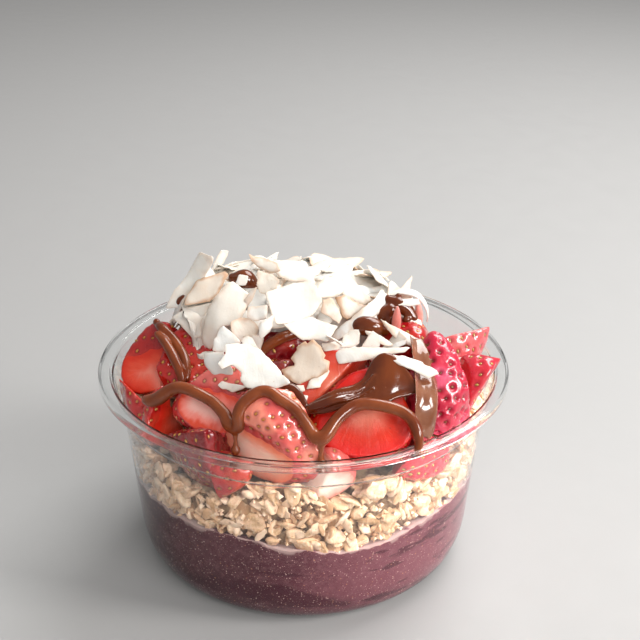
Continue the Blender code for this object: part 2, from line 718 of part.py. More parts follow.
def main():
    clear_scene()
    build_bowl()
    build_acai()
    fruit = build_berries()
    build_oats(fruit)
    sauce = material("chocolate_sauce", (0.15, 0.055, 0.025), 0.2)
    dollop = build_dollop(fruit, sauce)
    strands = build_strands(fruit + [dollop], sauce)
    coconut = material("coconut", (0.86, 0.80, 0.70), 0.75)
    chips = build_chips(fruit + strands + [dollop], coconut)
    build_heap(fruit + strands + [dollop] + chips, coconut)


main()
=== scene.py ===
import math
import random

import bmesh
import bpy
import numpy as np
from mathutils import Matrix, Vector, noise
from mathutils.bvhtree import BVHTree
from mathutils.geometry import delaunay_2d_cdt
from mathutils.kdtree import KDTree


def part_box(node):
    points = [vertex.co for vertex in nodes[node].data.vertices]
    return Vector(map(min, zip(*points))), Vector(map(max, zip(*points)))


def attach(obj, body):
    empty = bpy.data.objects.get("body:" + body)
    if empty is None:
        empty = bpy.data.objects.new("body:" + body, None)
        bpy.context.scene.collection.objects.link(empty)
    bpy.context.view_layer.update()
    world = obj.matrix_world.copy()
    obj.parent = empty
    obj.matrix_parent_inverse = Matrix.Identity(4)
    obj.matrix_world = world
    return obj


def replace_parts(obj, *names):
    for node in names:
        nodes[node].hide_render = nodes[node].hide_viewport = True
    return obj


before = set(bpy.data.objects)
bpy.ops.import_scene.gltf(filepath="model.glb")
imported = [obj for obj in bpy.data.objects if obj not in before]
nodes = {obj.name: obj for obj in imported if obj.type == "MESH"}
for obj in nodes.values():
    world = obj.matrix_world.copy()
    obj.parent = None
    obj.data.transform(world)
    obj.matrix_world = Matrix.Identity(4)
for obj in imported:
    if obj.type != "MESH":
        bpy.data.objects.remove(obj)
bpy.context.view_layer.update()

# Sizes below are millimetres unless a name says otherwise; MM turns them into metres.
MM = 0.001


# ---------------------------------------------------------------------------------------------
# Table, light and camera. A pale matt table, a large window-like softbox behind and to the right,
# soft fills in front and at the right, and a small card that only adds a shine to wet surfaces.
# The camera looks down at the front of the bowl.
# ---------------------------------------------------------------------------------------------
TABLE_REACH = 9.0
TABLE_COLOUR = (0.38, 0.379, 0.378, 1)
CAMERA_PLACE = (0.0, -0.42157, 0.29291)
CAMERA_TURN = (1.1238, -0.0054, -0.0114)
CAMERA_LENS = 72.5
# Lamp: place in metres, size in metres, watts, colour
LAMPS = {
    "window": ((0.42, 0.45, 0.85), (0.75, 0.55), 10.6, (1.0, 0.99, 0.97)),
    "front_fill": ((0.26, -0.95, 0.85), (1.1, 0.8), 10.6, (1.0, 0.98, 0.96)),
    "shine": ((0.66, -0.66, 0.54), (0.34, 0.26), 7.0, (1.0, 0.99, 0.98)),
    "right_fill": ((0.82, -0.27, 0.56), (0.25, 0.5), 7.4, (1.0, 0.97, 0.94)),
}
LAMP_AIM = Vector((0, 0, 0.06))
SKY_COLOUR = (1.0, 0.985, 0.97, 1)
SKY_STRENGTH = 0.33


def add(tree, kind, values=None, **settings):
    """A shader node. values sets its inputs: a number, a colour, or the socket that feeds it."""
    made = tree.nodes.new("ShaderNode" + kind)
    for name, value in settings.items():
        setattr(made, name, value)
    for name, value in (values or {}).items():
        feed(tree, made.inputs[name], value)
    return made


def feed(tree, socket, value):
    """Links a socket to what feeds it, or sets its own value."""
    if isinstance(value, bpy.types.NodeSocket):
        tree.links.new(value, socket)
    else:
        socket.default_value = value


def calc(tree, operation, a, b=0.0, c=0.0):
    """One Math node; gives its output socket."""
    made = add(tree, "Math", operation=operation)
    for socket, value in zip(made.inputs, (a, b, c)):
        feed(tree, socket, value)
    return made.outputs[0]


def fade(tree, value, low, high, start=0.0, end=1.0):
    """A smooth step of value from start to end between low and high."""
    made = add(tree, "MapRange", {0: value, 1: low, 2: high, 3: start, 4: end})
    made.interpolation_type = "SMOOTHSTEP"
    return made.outputs[0]


def mix(tree, share, a, b, mode="MIX"):
    """Mixes two colours."""
    made = add(tree, "Mix", data_type="RGBA", blend_type=mode)
    for number, value in ((0, share), (6, a), (7, b)):
        feed(tree, made.inputs[number], value)
    return made.outputs[2]


def layered(tree, colour, *layers):
    """Lays colours over one another, each given as (value, low, high, share at high, colour)."""
    for value, low, high, share, over in layers:
        colour = mix(tree, fade(tree, value, low, high, 0.0, share), colour, over)
    return colour


def clouds(tree, where, scale, detail=3.0, **values):
    """Soft noise over a coordinate socket."""
    given = {"Vector": where, "Scale": scale, "Detail": detail, **values}
    return add(tree, "TexNoise", given).outputs["Fac"]


def stored(tree, name, output="Fac"):
    """A value that the mesh keeps for each of its points."""
    return add(tree, "Attribute", attribute_name=name).outputs[output]


def bump(tree, height, strength, distance):
    """A normal that follows a height."""
    return add(tree, "Bump", {"Height": height, "Strength": strength, "Distance": distance}).outputs[0]


def dress(tree, shader, values):
    """Sets each named input of a shader on its own socket, or links what feeds it."""
    for name, value in values.items():
        feed(tree, shader.inputs[name], value)


def finish(name):
    """A new material with its node tree, its Principled shader and object coordinates."""
    made = bpy.data.materials.new(name)
    made.use_nodes = True
    tree = made.node_tree
    shader = tree.nodes["Principled BSDF"]
    place = add(tree, "TexCoord").outputs["Object"]
    return made, tree, shader, place


def solid(name, points, faces, surface, smooth=True):
    """An object from points in millimetres; points may be a list or an array."""
    mesh = bpy.data.meshes.new(name)
    mesh.from_pydata((np.asarray(points, float).reshape(-1, 3) * MM).tolist(), [], faces)
    mesh.update()
    if smooth:
        mesh.shade_smooth()
    mesh.materials.append(surface)
    made = bpy.data.objects.new(name, mesh)
    bpy.context.scene.collection.objects.link(made)
    return made


def mark(obj, name, values, kind="FLOAT"):
    """Stores one value or vector for each point of a mesh under a name that materials read."""
    field = "vector" if kind == "FLOAT_VECTOR" else "value"
    made = obj.data.attributes.new(name, kind, "POINT")
    made.data.foreach_set(field, np.asarray(values, np.float32).ravel())


table_surface, tree, shader, place = finish("table")
grain = clouds(tree, place, 60.0, 4.0)
dress(tree, shader, {"Base Color": TABLE_COLOUR, "Roughness": fade(tree, grain, 0.3, 0.7, 0.50, 0.58)})
reach = TABLE_REACH / 2 / MM
table = solid(
    "table", [(-reach, -reach, 0), (reach, -reach, 0), (reach, reach, 0), (-reach, reach, 0)],
    [(0, 1, 2, 3)], table_surface,
)

for lamp_name, (lamp_place, lamp_size, watts, lamp_colour) in LAMPS.items():
    lamp = bpy.data.lights.new(lamp_name, "AREA")
    lamp.shape = "RECTANGLE"
    lamp.size, lamp.size_y = lamp_size
    lamp.energy = watts
    lamp.color = lamp_colour
    holder = bpy.data.objects.new(lamp_name, lamp)
    holder.location = lamp_place
    holder.rotation_euler = (LAMP_AIM - Vector(lamp_place)).to_track_quat("-Z", "Y").to_euler()
    holder.visible_glossy = lamp_name != "front_fill"
    holder.visible_diffuse = lamp_name != "shine"
    bpy.context.scene.collection.objects.link(holder)

world = bpy.data.worlds.new("studio")
world.use_nodes = True
sky = world.node_tree.nodes["Background"]
dress(world.node_tree, sky, {"Color": SKY_COLOUR, "Strength": SKY_STRENGTH})
bpy.context.scene.world = world
bpy.context.scene.view_settings.view_transform = "Standard"

camera = bpy.data.objects.new("camera", bpy.data.cameras.new("camera"))
camera.location = CAMERA_PLACE
camera.rotation_euler = CAMERA_TURN
camera.data.lens = CAMERA_LENS
camera.data.clip_start = 0.01
bpy.context.scene.collection.objects.link(camera)
bpy.context.scene.camera = camera


# ---------------------------------------------------------------------------------------------
# Bowl. A thin shell thermoformed from clear plastic sheet: a foot ring, a rounded heel, a tapered
# wall, a stacking step, a rim band and a flange with a small turned-down lip.
# ---------------------------------------------------------------------------------------------
RIM_R = (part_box("bowl")[1].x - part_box("bowl")[0].x) / 2 / MM
RIM_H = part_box("bowl")[1].z / MM
SHEET = 0.7
STEP_H = 63.0
TAPER_H = 17.0
TAPER_R = 62.4
TAPER_SLOPE = 4.5 / 46.0
FOOT_R = 49.7
# The floor inside the foot ring lifts off the table, and the flange ends in a short lip
FLOOR_R = FOOT_R - 7.0
FLOOR_LIFT = 1.0
LIP_DROP = 2.2
HEEL_R = TAPER_R - TAPER_SLOPE * TAPER_H
BOWL_TURNS = 192


def bend(start, corner, end, steps):
    """Points of a curve from start to end that leaves along start-corner and arrives along corner-end."""
    made = []
    for k in range(steps + 1):
        t = k / steps
        made.append(tuple((1 - t) ** 2 * a + 2 * t * (1 - t) * b + t * t * c
                          for a, b, c in zip(start, corner, end)))
    return made


def wall_outside(height):
    """Radius of the straight wall's outside at a height."""
    return TAPER_R + TAPER_SLOPE * (height - TAPER_H)


def rounded(corners, share=0.42, most=0.45, steps=3):
    """An outline with each inner corner taken round over a share of its shorter side, most at most."""
    made = [corners[0]]
    for before, here, after in zip(corners, corners[1:], corners[2:]):
        middle = Vector(here)
        back = Vector(before) - middle
        on = Vector(after) - middle
        reach = min(most, share * min(back.length, on.length))
        made += bend(middle + back.normalized() * reach, middle, middle + on.normalized() * reach, steps)
    return made + [corners[-1]]


def turned(outline, turns):
    """Points and faces of a body turned about Z from an outline that starts and ends on the axis."""
    angles = np.arange(turns) * 2 * math.pi / turns
    points = []
    rings = []
    for radius, height in outline:
        if radius < 1e-6:
            rings.append([len(points)] * turns)
            points.append((0, 0, height))
            continue
        rings.append(list(range(len(points), len(points) + turns)))
        points += [(radius * math.cos(a), radius * math.sin(a), height) for a in angles]
    faces = []
    for low, high in zip(rings, rings[1:]):
        for k in range(turns):
            around = (low[k], low[(k + 1) % turns], high[(k + 1) % turns], high[k])
            faces.append(tuple(dict.fromkeys(around)))
    return points, faces


step_r = wall_outside(STEP_H - 0.8)
outer = rounded([(0, FLOOR_LIFT), (FLOOR_R, FLOOR_LIFT), (FOOT_R - 5.5, 0.0), (FOOT_R, 0.0)], 0.3)
outer += bend((FOOT_R, 0.0), (HEEL_R, 0.0), (TAPER_R, TAPER_H), 14)[1:]
outer += rounded([
    (TAPER_R + 0.01, TAPER_H + 0.1), (step_r, STEP_H - 0.8), (step_r + 1.1, STEP_H),
    (RIM_R - 4.8, RIM_H - 1.8), (RIM_R - 4.3, RIM_H - 0.9), (RIM_R - 1.1, RIM_H - 1.0),
    (RIM_R - SHEET, RIM_H - 1.5), (RIM_R - SHEET, RIM_H - LIP_DROP), (RIM_R, RIM_H - LIP_DROP),
])[1:]
inner = rounded([
    (RIM_R, RIM_H - LIP_DROP), (RIM_R, RIM_H - 0.7), (RIM_R - 0.6, RIM_H), (RIM_R - 2.2, RIM_H - 0.25),
    (RIM_R - 4.6, RIM_H - 0.2), (RIM_R - 5.0, RIM_H - 0.8), (RIM_R - 5.6, RIM_H - 1.8),
    (step_r + 0.4, STEP_H + 0.3), (step_r - SHEET, STEP_H - 0.6),
    (TAPER_R - SHEET + 0.01, TAPER_H + 0.1),
])[1:]
inner += [(r - SHEET, z + SHEET * 0.75)
          for r, z in bend((TAPER_R, TAPER_H), (HEEL_R, 0.0), (FOOT_R, 0.0), 14)[1:-1]]
inner += rounded([(FOOT_R - 0.4, SHEET), (FOOT_R - 5.2, SHEET), (FLOOR_R, FLOOR_LIFT + SHEET),
                  (0, FLOOR_LIFT + SHEET)], 0.3)


def plastic_finish(name, specular):
    """Clear plastic: glass-like, faintly wavy, and lets the lamps' light straight through."""
    made, tree, shader, place = finish(name)
    ripple = clouds(tree, place, 38.0, 2.0)
    scuffs = clouds(tree, place, 900.0)
    relief = calc(tree, "ADD", ripple, calc(tree, "MULTIPLY", scuffs, 0.04))
    dress(tree, shader, {
        "Base Color": (0.97, 0.985, 0.98, 1), "Roughness": 0.02, "IOR": 1.45,
        "Specular IOR Level": specular, "Transmission Weight": 1.0,
        "Normal": bump(tree, relief, 0.10, 0.002),
    })
    straight = add(tree, "BsdfTransparent", {"Color": (0.96, 0.97, 0.97, 1)}).outputs[0]
    shadow = add(tree, "LightPath").outputs["Is Shadow Ray"]
    either = add(tree, "MixShader", {0: shadow, 1: shader.outputs[0], 2: straight})
    feed(tree, tree.nodes["Material Output"].inputs["Surface"], either.outputs[0])
    return made


points, faces = turned(outer + inner, BOWL_TURNS)
bowl = solid("clear_bowl", points, faces, plastic_finish("clear_plastic", 0.12))
bowl.data.materials.append(plastic_finish("clear_plastic_rim", 0.30))
for face in bowl.data.polygons:
    face.material_index = int(face.center.z / MM > STEP_H + 1.0)
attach(bowl, "root")
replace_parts(bowl, "bowl")


# ---------------------------------------------------------------------------------------------
# Acai. Frozen fruit puree, spooned in and pressed against the wall, so it takes the bowl's shape.
# Small air pockets leave darker streaks where it misses the wall, and a milky line of thaw
# follows its upper edge.
# Shade is painted into the puree's colour: its left side is painted darker.
# ---------------------------------------------------------------------------------------------
PUREE_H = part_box("acai")[1].z / MM - 0.6
INTO_WALL = 0.25
PUREE_TURNS = 400
PUREE_ROWS = 56
# Turns where pockets gather, and how strongly
POCKET_TURNS = ((5.45, 0.40), (1.1, 0.28), (2.6, 0.28))
# Where the oats press deepest into the puree: turn, half width, depth
DIP = (4.95, 0.48, 4.4)
# A broad smear of darker puree near the bottom: turn, half width, top
SMEAR = (4.45, 0.44, 20.0)
POCKET_DEPTH = 0.18
# The hidden top, from the wall inwards: radius, and how much of the dip it follows
PUREE_TOP = ((61.0, 1.1), (52.0, 0.5), (30.0, 0.0), (0.0, 0.0))
PUREE_MAUVE = (0.205, 0.056, 0.078, 1)
# Painted shade: the colour of the puree's left side, away from the lamps
PUREE_PAINTED_SHADE = (0.052, 0.009, 0.016, 1)
PUREE_CLOUD = (0.25, 0.095, 0.115, 1)
PUREE_GRAIN = (0.34, 0.16, 0.17, 1)
PUREE_DARK = (0.050, 0.005, 0.014, 1)
PUREE_MILK = (0.50, 0.36, 0.33, 1)
FROST_PINK = (0.74, 0.50, 0.42, 1)
SEED_BROWN = (0.50, 0.22, 0.12, 1)


def dip(turn):
    """How much lower the puree's edge is at a turn."""
    return DIP[2] * math.exp(-((turn - DIP[0]) / DIP[1]) ** 2)


def puree_edge(turn):
    """Height of the puree's upper edge at the wall."""
    x, y = math.cos(turn), math.sin(turn)
    slow = noise.noise(Vector((x * 2.9, y * 2.9, 3.1)))
    quick = noise.noise(Vector((x * 9.0, y * 9.0, 8.6)))
    lumps = noise.noise(Vector((x * 21.0, y * 21.0, 2.2)))
    return PUREE_H + 1.0 * slow + 1.5 * quick + 1.0 * lumps - dip(turn)


def puree_pocket(turn, height):
    """1 where an air pocket keeps the puree off the wall: level streaks, wider near the bottom."""
    around = turn * TAPER_R
    streak = noise.noise(Vector((around * 0.060, height * 0.48 + around * 0.03, 1.3)))
    streak += 0.45 * noise.noise(Vector((around * 0.21, height * 1.2, 5.2)))
    places = sum(most * max(0.0, math.cos(turn - middle)) ** 10 for middle, most in POCKET_TURNS)
    broad = noise.noise(Vector((around * 0.028, height * 0.17, 6.4)))
    low = max(0.0, 1.0 - height / 14.0)
    across = abs(turn - SMEAR[0]) / SMEAR[1]
    waves = noise.noise(Vector((around * 0.16, height * 0.3, 9.7)))
    smear = min(SMEAR[2] - height - 7.0 * across ** 2 + 2.0 * waves, height - 9.0 + 4 * waves)
    level = max(streak - 0.62 + places, 0.9 * broad - 0.32 + 0.46 * low, 0.06 * smear)
    return min(1.0, max(0.0, level / 0.09))


wall_path = bend((FOOT_R, 0.0), (HEEL_R, 0.0), (TAPER_R, TAPER_H), 36)[:-1]
wall_path = [(r - SHEET + INTO_WALL, z + SHEET * 0.75 - INTO_WALL * 0.5) for r, z in wall_path]
floor_path = [(0.0, FLOOR_LIFT + SHEET - INTO_WALL), (FLOOR_R, FLOOR_LIFT + SHEET - INTO_WALL),
              (FOOT_R - 5.0, SHEET - INTO_WALL)]
points = []
pockets = []
rims = []
rings = []
for k in range(len(floor_path) + len(wall_path) + PUREE_ROWS + len(PUREE_TOP)):
    ring = []
    for j in range(PUREE_TURNS):
        turn = 2 * math.pi * j / PUREE_TURNS
        edge = puree_edge(turn)
        row = k - len(floor_path) - len(wall_path)
        pocket = 0.0
        if k < len(floor_path):
            radius, height = floor_path[k]
        elif row < 0:
            radius, height = wall_path[k - len(floor_path)]
            pocket = puree_pocket(turn, height)
        elif row < PUREE_ROWS:
            height = TAPER_H + (edge - TAPER_H) * row / (PUREE_ROWS - 1)
            radius = wall_outside(height) - SHEET + INTO_WALL
            pocket = puree_pocket(turn, height) if row < PUREE_ROWS - 4 else 0.0
        else:
            radius, followed = PUREE_TOP[row - PUREE_ROWS]
            height = PUREE_H - 0.5 - dip(turn) * followed
        radius -= pocket * POCKET_DEPTH
        ring.append(len(points))
        points.append((radius * math.cos(turn), radius * math.sin(turn), height))
        pockets.append(pocket)
        rims.append(edge - height)
        if radius <= 0.0:
            ring = [ring[0]] * PUREE_TURNS
            break
    rings.append(ring)
faces = []
for low, high in zip(rings, rings[1:]):
    for j in range(PUREE_TURNS):
        on = (j + 1) % PUREE_TURNS
        faces.append(tuple(dict.fromkeys((low[j], low[on], high[on], high[j]))))


def speckle_group():
    """Scattered fine flecks: gives a mask of round flecks and a random value for each."""
    group = bpy.data.node_groups.new("scattered_flecks", "ShaderNodeTree")
    group.interface.new_socket("Place", in_out="INPUT", socket_type="NodeSocketVector")
    for name in ("Scale", "Size", "Share"):
        group.interface.new_socket(name, in_out="INPUT", socket_type="NodeSocketFloat")
    for name in ("Flecks", "Pick"):
        group.interface.new_socket(name, in_out="OUTPUT", socket_type="NodeSocketFloat")
    given = group.nodes.new("NodeGroupInput").outputs
    cells = add(group, "TexVoronoi", {"Vector": given["Place"], "Scale": given["Scale"]})
    parts = add(group, "SeparateColor", {0: cells.outputs["Color"]})
    chosen = calc(group, "LESS_THAN", parts.outputs[0], given["Share"])
    size = calc(group, "MULTIPLY", given["Size"], calc(group, "MULTIPLY_ADD", parts.outputs[1], 0.8, 0.4))
    near = calc(group, "LESS_THAN", cells.outputs["Distance"], size)
    result = group.nodes.new("NodeGroupOutput").inputs
    feed(group, result["Flecks"], calc(group, "MULTIPLY", near, chosen))
    feed(group, result["Pick"], parts.outputs[2])
    return group


def place_group(tree, group, **values):
    """Puts a node group in a material with its own values; gives its outputs."""
    made = tree.nodes.new("ShaderNodeGroup")
    made.node_tree = group
    for name, value in values.items():
        feed(tree, made.inputs[name], value)
    return made.outputs


flecks_of = speckle_group()
puree, tree, shader, place = finish("acai")
pocket = stored(tree, "pocket")
rim = stored(tree, "rim")
cloud = clouds(tree, place, 26.0)
fine = clouds(tree, place, 420.0, 4.0, Roughness=0.7)
apart = add(tree, "SeparateXYZ", {0: place}).outputs
# Painted shade: the puree is painted darker towards the left and front, away from the lamps, and mauve
# towards the right
painted_light_side = fade(tree, calc(tree, "MULTIPLY_ADD", apart["Y"], 0.25, apart["X"]), -0.06, 0.05)
colour = layered(tree, mix(tree, painted_light_side, PUREE_PAINTED_SHADE, PUREE_MAUVE),
                 (cloud, 0.35, 0.70, 0.25, PUREE_CLOUD), (fine, 0.42, 0.75, 0.28, PUREE_GRAIN))
colour = mix(tree, calc(tree, "MULTIPLY", pocket, 0.72), colour, PUREE_DARK)
frost = place_group(tree, flecks_of, Place=place, Scale=1350.0, Size=0.24, Share=0.95)
seeds = place_group(tree, flecks_of, Place=place, Scale=900.0, Size=0.22, Share=0.40)
bright = calc(tree, "MULTIPLY", frost["Flecks"], fade(tree, frost["Pick"], 0.3, 1.0, 0.10, 0.95))
colour = mix(tree, bright, colour, FROST_PINK)
bright = calc(tree, "MULTIPLY", seeds["Flecks"], fade(tree, seeds["Pick"], 0.2, 1.0, 0.15, 0.85))
colour = mix(tree, bright, colour, SEED_BROWN)
thaw = clouds(tree, place, 130.0)
reach = fade(tree, thaw, 0.36, 0.64, 0.00005, 0.0023)
milk = calc(tree, "SUBTRACT", 1.0, calc(tree, "DIVIDE", rim, reach))
colour = layered(tree, colour, (milk, 0.0, 0.6, 0.65, PUREE_MILK))
lumps = calc(tree, "ADD", fine, calc(tree, "MULTIPLY", frost["Flecks"], 0.5))
dress(tree, shader, {
    "Base Color": colour, "Roughness": fade(tree, fine, 0.2, 0.8, 0.38, 0.62),
    "Specular IOR Level": 0.12, "Subsurface Weight": 0.12,
    "Subsurface Radius": (0.004, 0.002, 0.002), "Subsurface Scale": 0.5,
    "Normal": bump(tree, lumps, 0.35, 0.0006),
})

acai = solid("acai_puree", points, faces, puree)
mark(acai, "pocket", pockets)
mark(acai, "rim", np.array(rims) * MM)
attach(acai, "root")
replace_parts(acai, "acai")


# ---------------------------------------------------------------------------------------------
# Granola. Plain toasted rolled oats poured on the puree: a loose bed whose flakes lie flat
# against the wall, with dark gaps between them, and a hidden core under the outer flakes.
# Shade is painted in: the gaps between the flakes are painted dark, and so is the deeper layer of flakes.
# ---------------------------------------------------------------------------------------------
FLAKE_SIDES = 9
FLAKE_RINGS = ((0.0, 0.90), (0.5, 0.95), (0.86, 0.66), (1.0, 0.20))
CRUMBS = 1300
# Flakes against the wall in two layers: how many, how far behind the wall, how squarely they face it
OAT_LAYERS = ((500, 1.3, 0.9), (560, 3.2, 0.6))
# Flakes on top of the bed: how many are tried, and how far out they lie
TOP_FLAKES = 1450
OATS_R = 64.0
OATS_H = 64.0
CRUMBS_H = 62.0
# Pieces keep this far off the fruit: flakes at the wall, flakes on top, crumbs
FRUIT_GAPS = (0.7, 1.0, 0.9)
ROLL_MOST = 6.3
CRUMB_FACES = ((0, 2, 4), (2, 1, 4), (1, 3, 4), (3, 0, 4), (2, 0, 5), (1, 2, 5), (3, 1, 5), (0, 3, 5))
FLAKE_LENGTH = (4.2, 9.2)
OAT_CREAM = (0.86, 0.62, 0.45, 1)
OAT_TAN = (0.68, 0.41, 0.24, 1)
# Dark brown: painted shade on the deeper layer of flakes, and a little toast on the others
OAT_TOAST_AND_SHADE = (0.36, 0.17, 0.08, 1)
OAT_BRAN = (0.43, 0.235, 0.10, 1)
OAT_FLOUR = (0.86, 0.74, 0.56, 1)
OAT_HUSK = (0.30, 0.15, 0.07, 1)
# Painted shade: the colour of the gaps between the flakes
OAT_GAP_SHADE = (0.13, 0.055, 0.03, 1)
OAT_DUST = (0.42, 0.27, 0.15, 1)


def tree_over(names):
    """A search tree over the bodies of some nodes, in millimetres."""
    points = []
    faces = []
    for name in names:
        mesh = nodes[name].data
        start = len(points)
        points += [vert.co / MM for vert in mesh.vertices]
        faces += [[start + k for k in face.vertices] for face in mesh.polygons]
    return BVHTree.FromPolygons(points, faces)


fruit_names = sorted(name for name in nodes if name.startswith("strawberry_"))
fruit_solids = tree_over(fruit_names)
oat_solid = tree_over(["granola"])


def inside(tree, point):
    """True if a point in millimetres is inside the bodies of a search tree."""
    spot, normal, _, _ = tree.find_nearest(point)
    return (point - spot).dot(normal) < 0


def turn_to(normal, roll):
    """Rotation that takes Z to normal, after a roll about it."""
    return (Vector(normal).to_track_quat("Z", "Y").to_matrix() @ Matrix.Rotation(roll, 3, "Z"))


def oat_flake(rng):
    """Points of one rolled oat, flat in XY: a ragged oval, cupped, with a crease along it."""
    length = rng.uniform(*FLAKE_LENGTH)
    width = length * rng.uniform(0.62, 0.86)
    lobes = [rng.uniform(-0.12, 0.12) for _ in range(3)]
    phases = [rng.uniform(0, 2 * math.pi) for _ in range(3)]
    broken = rng.uniform(0.2, 0.8) if rng.random() < 0.42 else 2.0
    cup = rng.uniform(-0.03, 0.04)
    roll = rng.uniform(-0.03, 0.04)
    crease = rng.uniform(0.15, 0.55)
    fat = rng.uniform(0.75, 1.25)
    made = []
    for top in (1, -1):
        for share, thick in FLAKE_RINGS:
            for k in range(FLAKE_SIDES if share else 1):
                a = 2 * math.pi * k / FLAKE_SIDES
                out = 1 + sum(size * math.sin((n + 2) * a + phase)
                              for n, (size, phase) in enumerate(zip(lobes, phases)))
                x = length / 2 * math.cos(a) * out * share
                y = width / 2 * math.sin(a) * out * share
                x = min(x, broken * length / 2)
                lump = noise.noise(Vector((x * 0.7 + phases[0] * 9, y * 0.7, phases[1] * 9)))
                z = cup * x * x + roll * y * y + top * (thick * fat + 0.45 * lump * (1.1 - share))
                if abs(y) < width * 0.16 and share < 0.9:
                    z -= top * crease
                made.append((x, y, z))
    return made


def flake_faces():
    """Faces of one flake: two fans, their bands and the rim."""
    edge = 1 + (len(FLAKE_RINGS) - 2) * FLAKE_SIDES
    half = edge + FLAKE_SIDES
    made = []
    for k in range(FLAKE_SIDES):
        on = (k + 1) % FLAKE_SIDES
        side = [(0, 1 + k, 1 + on)]
        for inner_ring in range(1, edge, FLAKE_SIDES):
            outer_ring = inner_ring + FLAKE_SIDES
            side.append((inner_ring + k, outer_ring + k, outer_ring + on, inner_ring + on))
        made += side
        made += [tuple(half + m for m in face[::-1]) for face in side]
        made.append((edge + k, half + edge + k, half + edge + on, edge + on))
    return made


def form_of(mesh, weld):
    """An editable copy of a mesh in millimetres, with points nearer than weld joined."""
    form = bmesh.new()
    form.from_mesh(mesh)
    bmesh.ops.scale(form, vec=(1 / MM,) * 3, verts=form.verts)
    bmesh.ops.remove_doubles(form, verts=form.verts, dist=weld)
    return form


def oats_top(x, y):
    """Height of the bed's surface, or a low value beside it."""
    hit = oat_solid.ray_cast(Vector((x, y, 90)), Vector((0, 0, -1)))[0]
    return 40.0 if hit is None else hit.z


rng = random.Random(11)
flakes = []
for layer, (count, depth, face_on) in enumerate(OAT_LAYERS):
    for k in range(count):
        turn = rng.uniform(0, 2 * math.pi)
        lowest = puree_edge(turn) + 0.4
        height = lowest + (OATS_H - lowest) * rng.random() ** 1.2
        depth_here = depth + rng.uniform(-0.3, 0.9)
        radius = wall_outside(height) - SHEET - depth_here
        spot = Vector((radius * math.cos(turn), radius * math.sin(turn), height))
        if height > oats_top(spot.x * 0.96, spot.y * 0.96) + 1.8:
            continue
        if inside(fruit_solids, spot) or fruit_solids.find_nearest(spot)[3] < FRUIT_GAPS[0]:
            continue
        outward = Vector((spot.x, spot.y, 0)).normalized() * face_on
        normal = outward + Vector([rng.gauss(0, 0.6) for _ in range(3)])
        # The deeper layer gets painted shade: its shade raises the tint, which paints its flakes darker
        flakes.append((spot, normal, 0.85 * layer))
for _ in range(TOP_FLAKES):
    turn = rng.uniform(0, 2 * math.pi)
    radius = OATS_R * math.sqrt(rng.random())
    x, y = radius * math.cos(turn), radius * math.sin(turn)
    level = oats_top(x, y) + rng.uniform(-0.2, 1.2)
    spot = Vector((x, y, level))
    roof = fruit_solids.ray_cast(spot, Vector((0, 0, 1)))[0]
    if inside(fruit_solids, spot) or fruit_solids.find_nearest(spot)[3] < FRUIT_GAPS[1]:
        continue
    if roof is not None and roof.z - level < 5 and radius < 57:
        continue
    flakes.append((spot, Vector((rng.gauss(0, 0.45), rng.gauss(0, 0.45), 1)), 0.0))

shape = flake_faces()
points = []
faces = []
tints = []
for spot, normal, shade in flakes:
    place_one = turn_to(normal, rng.uniform(0, ROLL_MOST))
    start = len(points)
    tint = rng.random() + shade
    lowest = puree_edge(math.atan2(spot.y, spot.x) % (2 * math.pi)) - 1.2
    for local in oat_flake(rng):
        point = spot + place_one @ Vector(local)
        reach = math.hypot(point.x, point.y)
        most = wall_outside(min(point.z, CRUMBS_H)) - SHEET + 0.12
        if reach > most:
            point.x *= most / reach
            point.y *= most / reach
        point.z = max(point.z, lowest)
        points.append(point)
        tints.append(tint)
    faces += [tuple(start + k for k in face) for face in shape]

# Broken bits and crumbs between the flakes
for _ in range(CRUMBS):
    turn = rng.uniform(0, 2 * math.pi)
    height = rng.uniform(puree_edge(turn) - 0.4, CRUMBS_H)
    radius = wall_outside(height) - SHEET - rng.uniform(0.7, 2.6)
    spot = Vector((radius * math.cos(turn), radius * math.sin(turn), height))
    if height > oats_top(spot.x * 0.96, spot.y * 0.96) + 1.0:
        continue
    if fruit_solids.find_nearest(spot)[3] < FRUIT_GAPS[2]:
        continue
    start = len(points)
    tint = rng.random()
    size = rng.uniform(0.5, 1.35)
    for corner in ((1, 0, 0), (-1, 0, 0), (0, 1, 0), (0, -1, 0), (0, 0, 1), (0, 0, -1)):
        points.append(spot + Vector([c * size + rng.uniform(-0.3, 0.3) * size for c in corner]))
        tints.append(tint)
    faces += [tuple(start + k for k in face) for face in CRUMB_FACES]

oats_finish, tree, shader, place = finish("rolled_oats")
tint = stored(tree, "tint")
blotch = clouds(tree, place, 210.0, 4.0, Roughness=0.62)
stretched = add(tree, "Mapping", {"Vector": place, "Scale": (900, 900, 260)}).outputs[0]
bran = clouds(tree, stretched, 1.0, 4.0)
colour = mix(tree, fade(tree, tint, 0.1, 1.0), OAT_CREAM, OAT_TAN)
# A tint above 0.9 paints a flake dark brown: painted shade on the deeper layer, a little toast elsewhere
colour = layered(tree, colour, (tint, 0.9, 1.6, 0.8, OAT_TOAST_AND_SHADE), (blotch, 0.46, 0.68, 0.75, OAT_BRAN),
                 (bran, 0.50, 0.72, 0.45, OAT_FLOUR))
husk = place_group(tree, flecks_of, Place=place, Scale=520.0, Size=0.26, Share=0.22)
colour = mix(tree, calc(tree, "MULTIPLY", husk["Flecks"], 0.5), colour, OAT_HUSK)
rough = calc(tree, "ADD", bran, calc(tree, "MULTIPLY", blotch, 0.8))
dress(tree, shader, {
    "Base Color": colour, "Roughness": fade(tree, bran, 0.2, 0.8, 0.55, 0.8),
    "Subsurface Weight": 0.08, "Subsurface Radius": (0.002, 0.0012, 0.0006),
    "Normal": bump(tree, rough, 0.6, 0.0005),
})

oats = solid("oat_flakes", points, faces, oats_finish)
oats.data.set_sharp_from_angle(angle=math.radians(55))
mark(oats, "tint", tints)
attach(oats, "root")
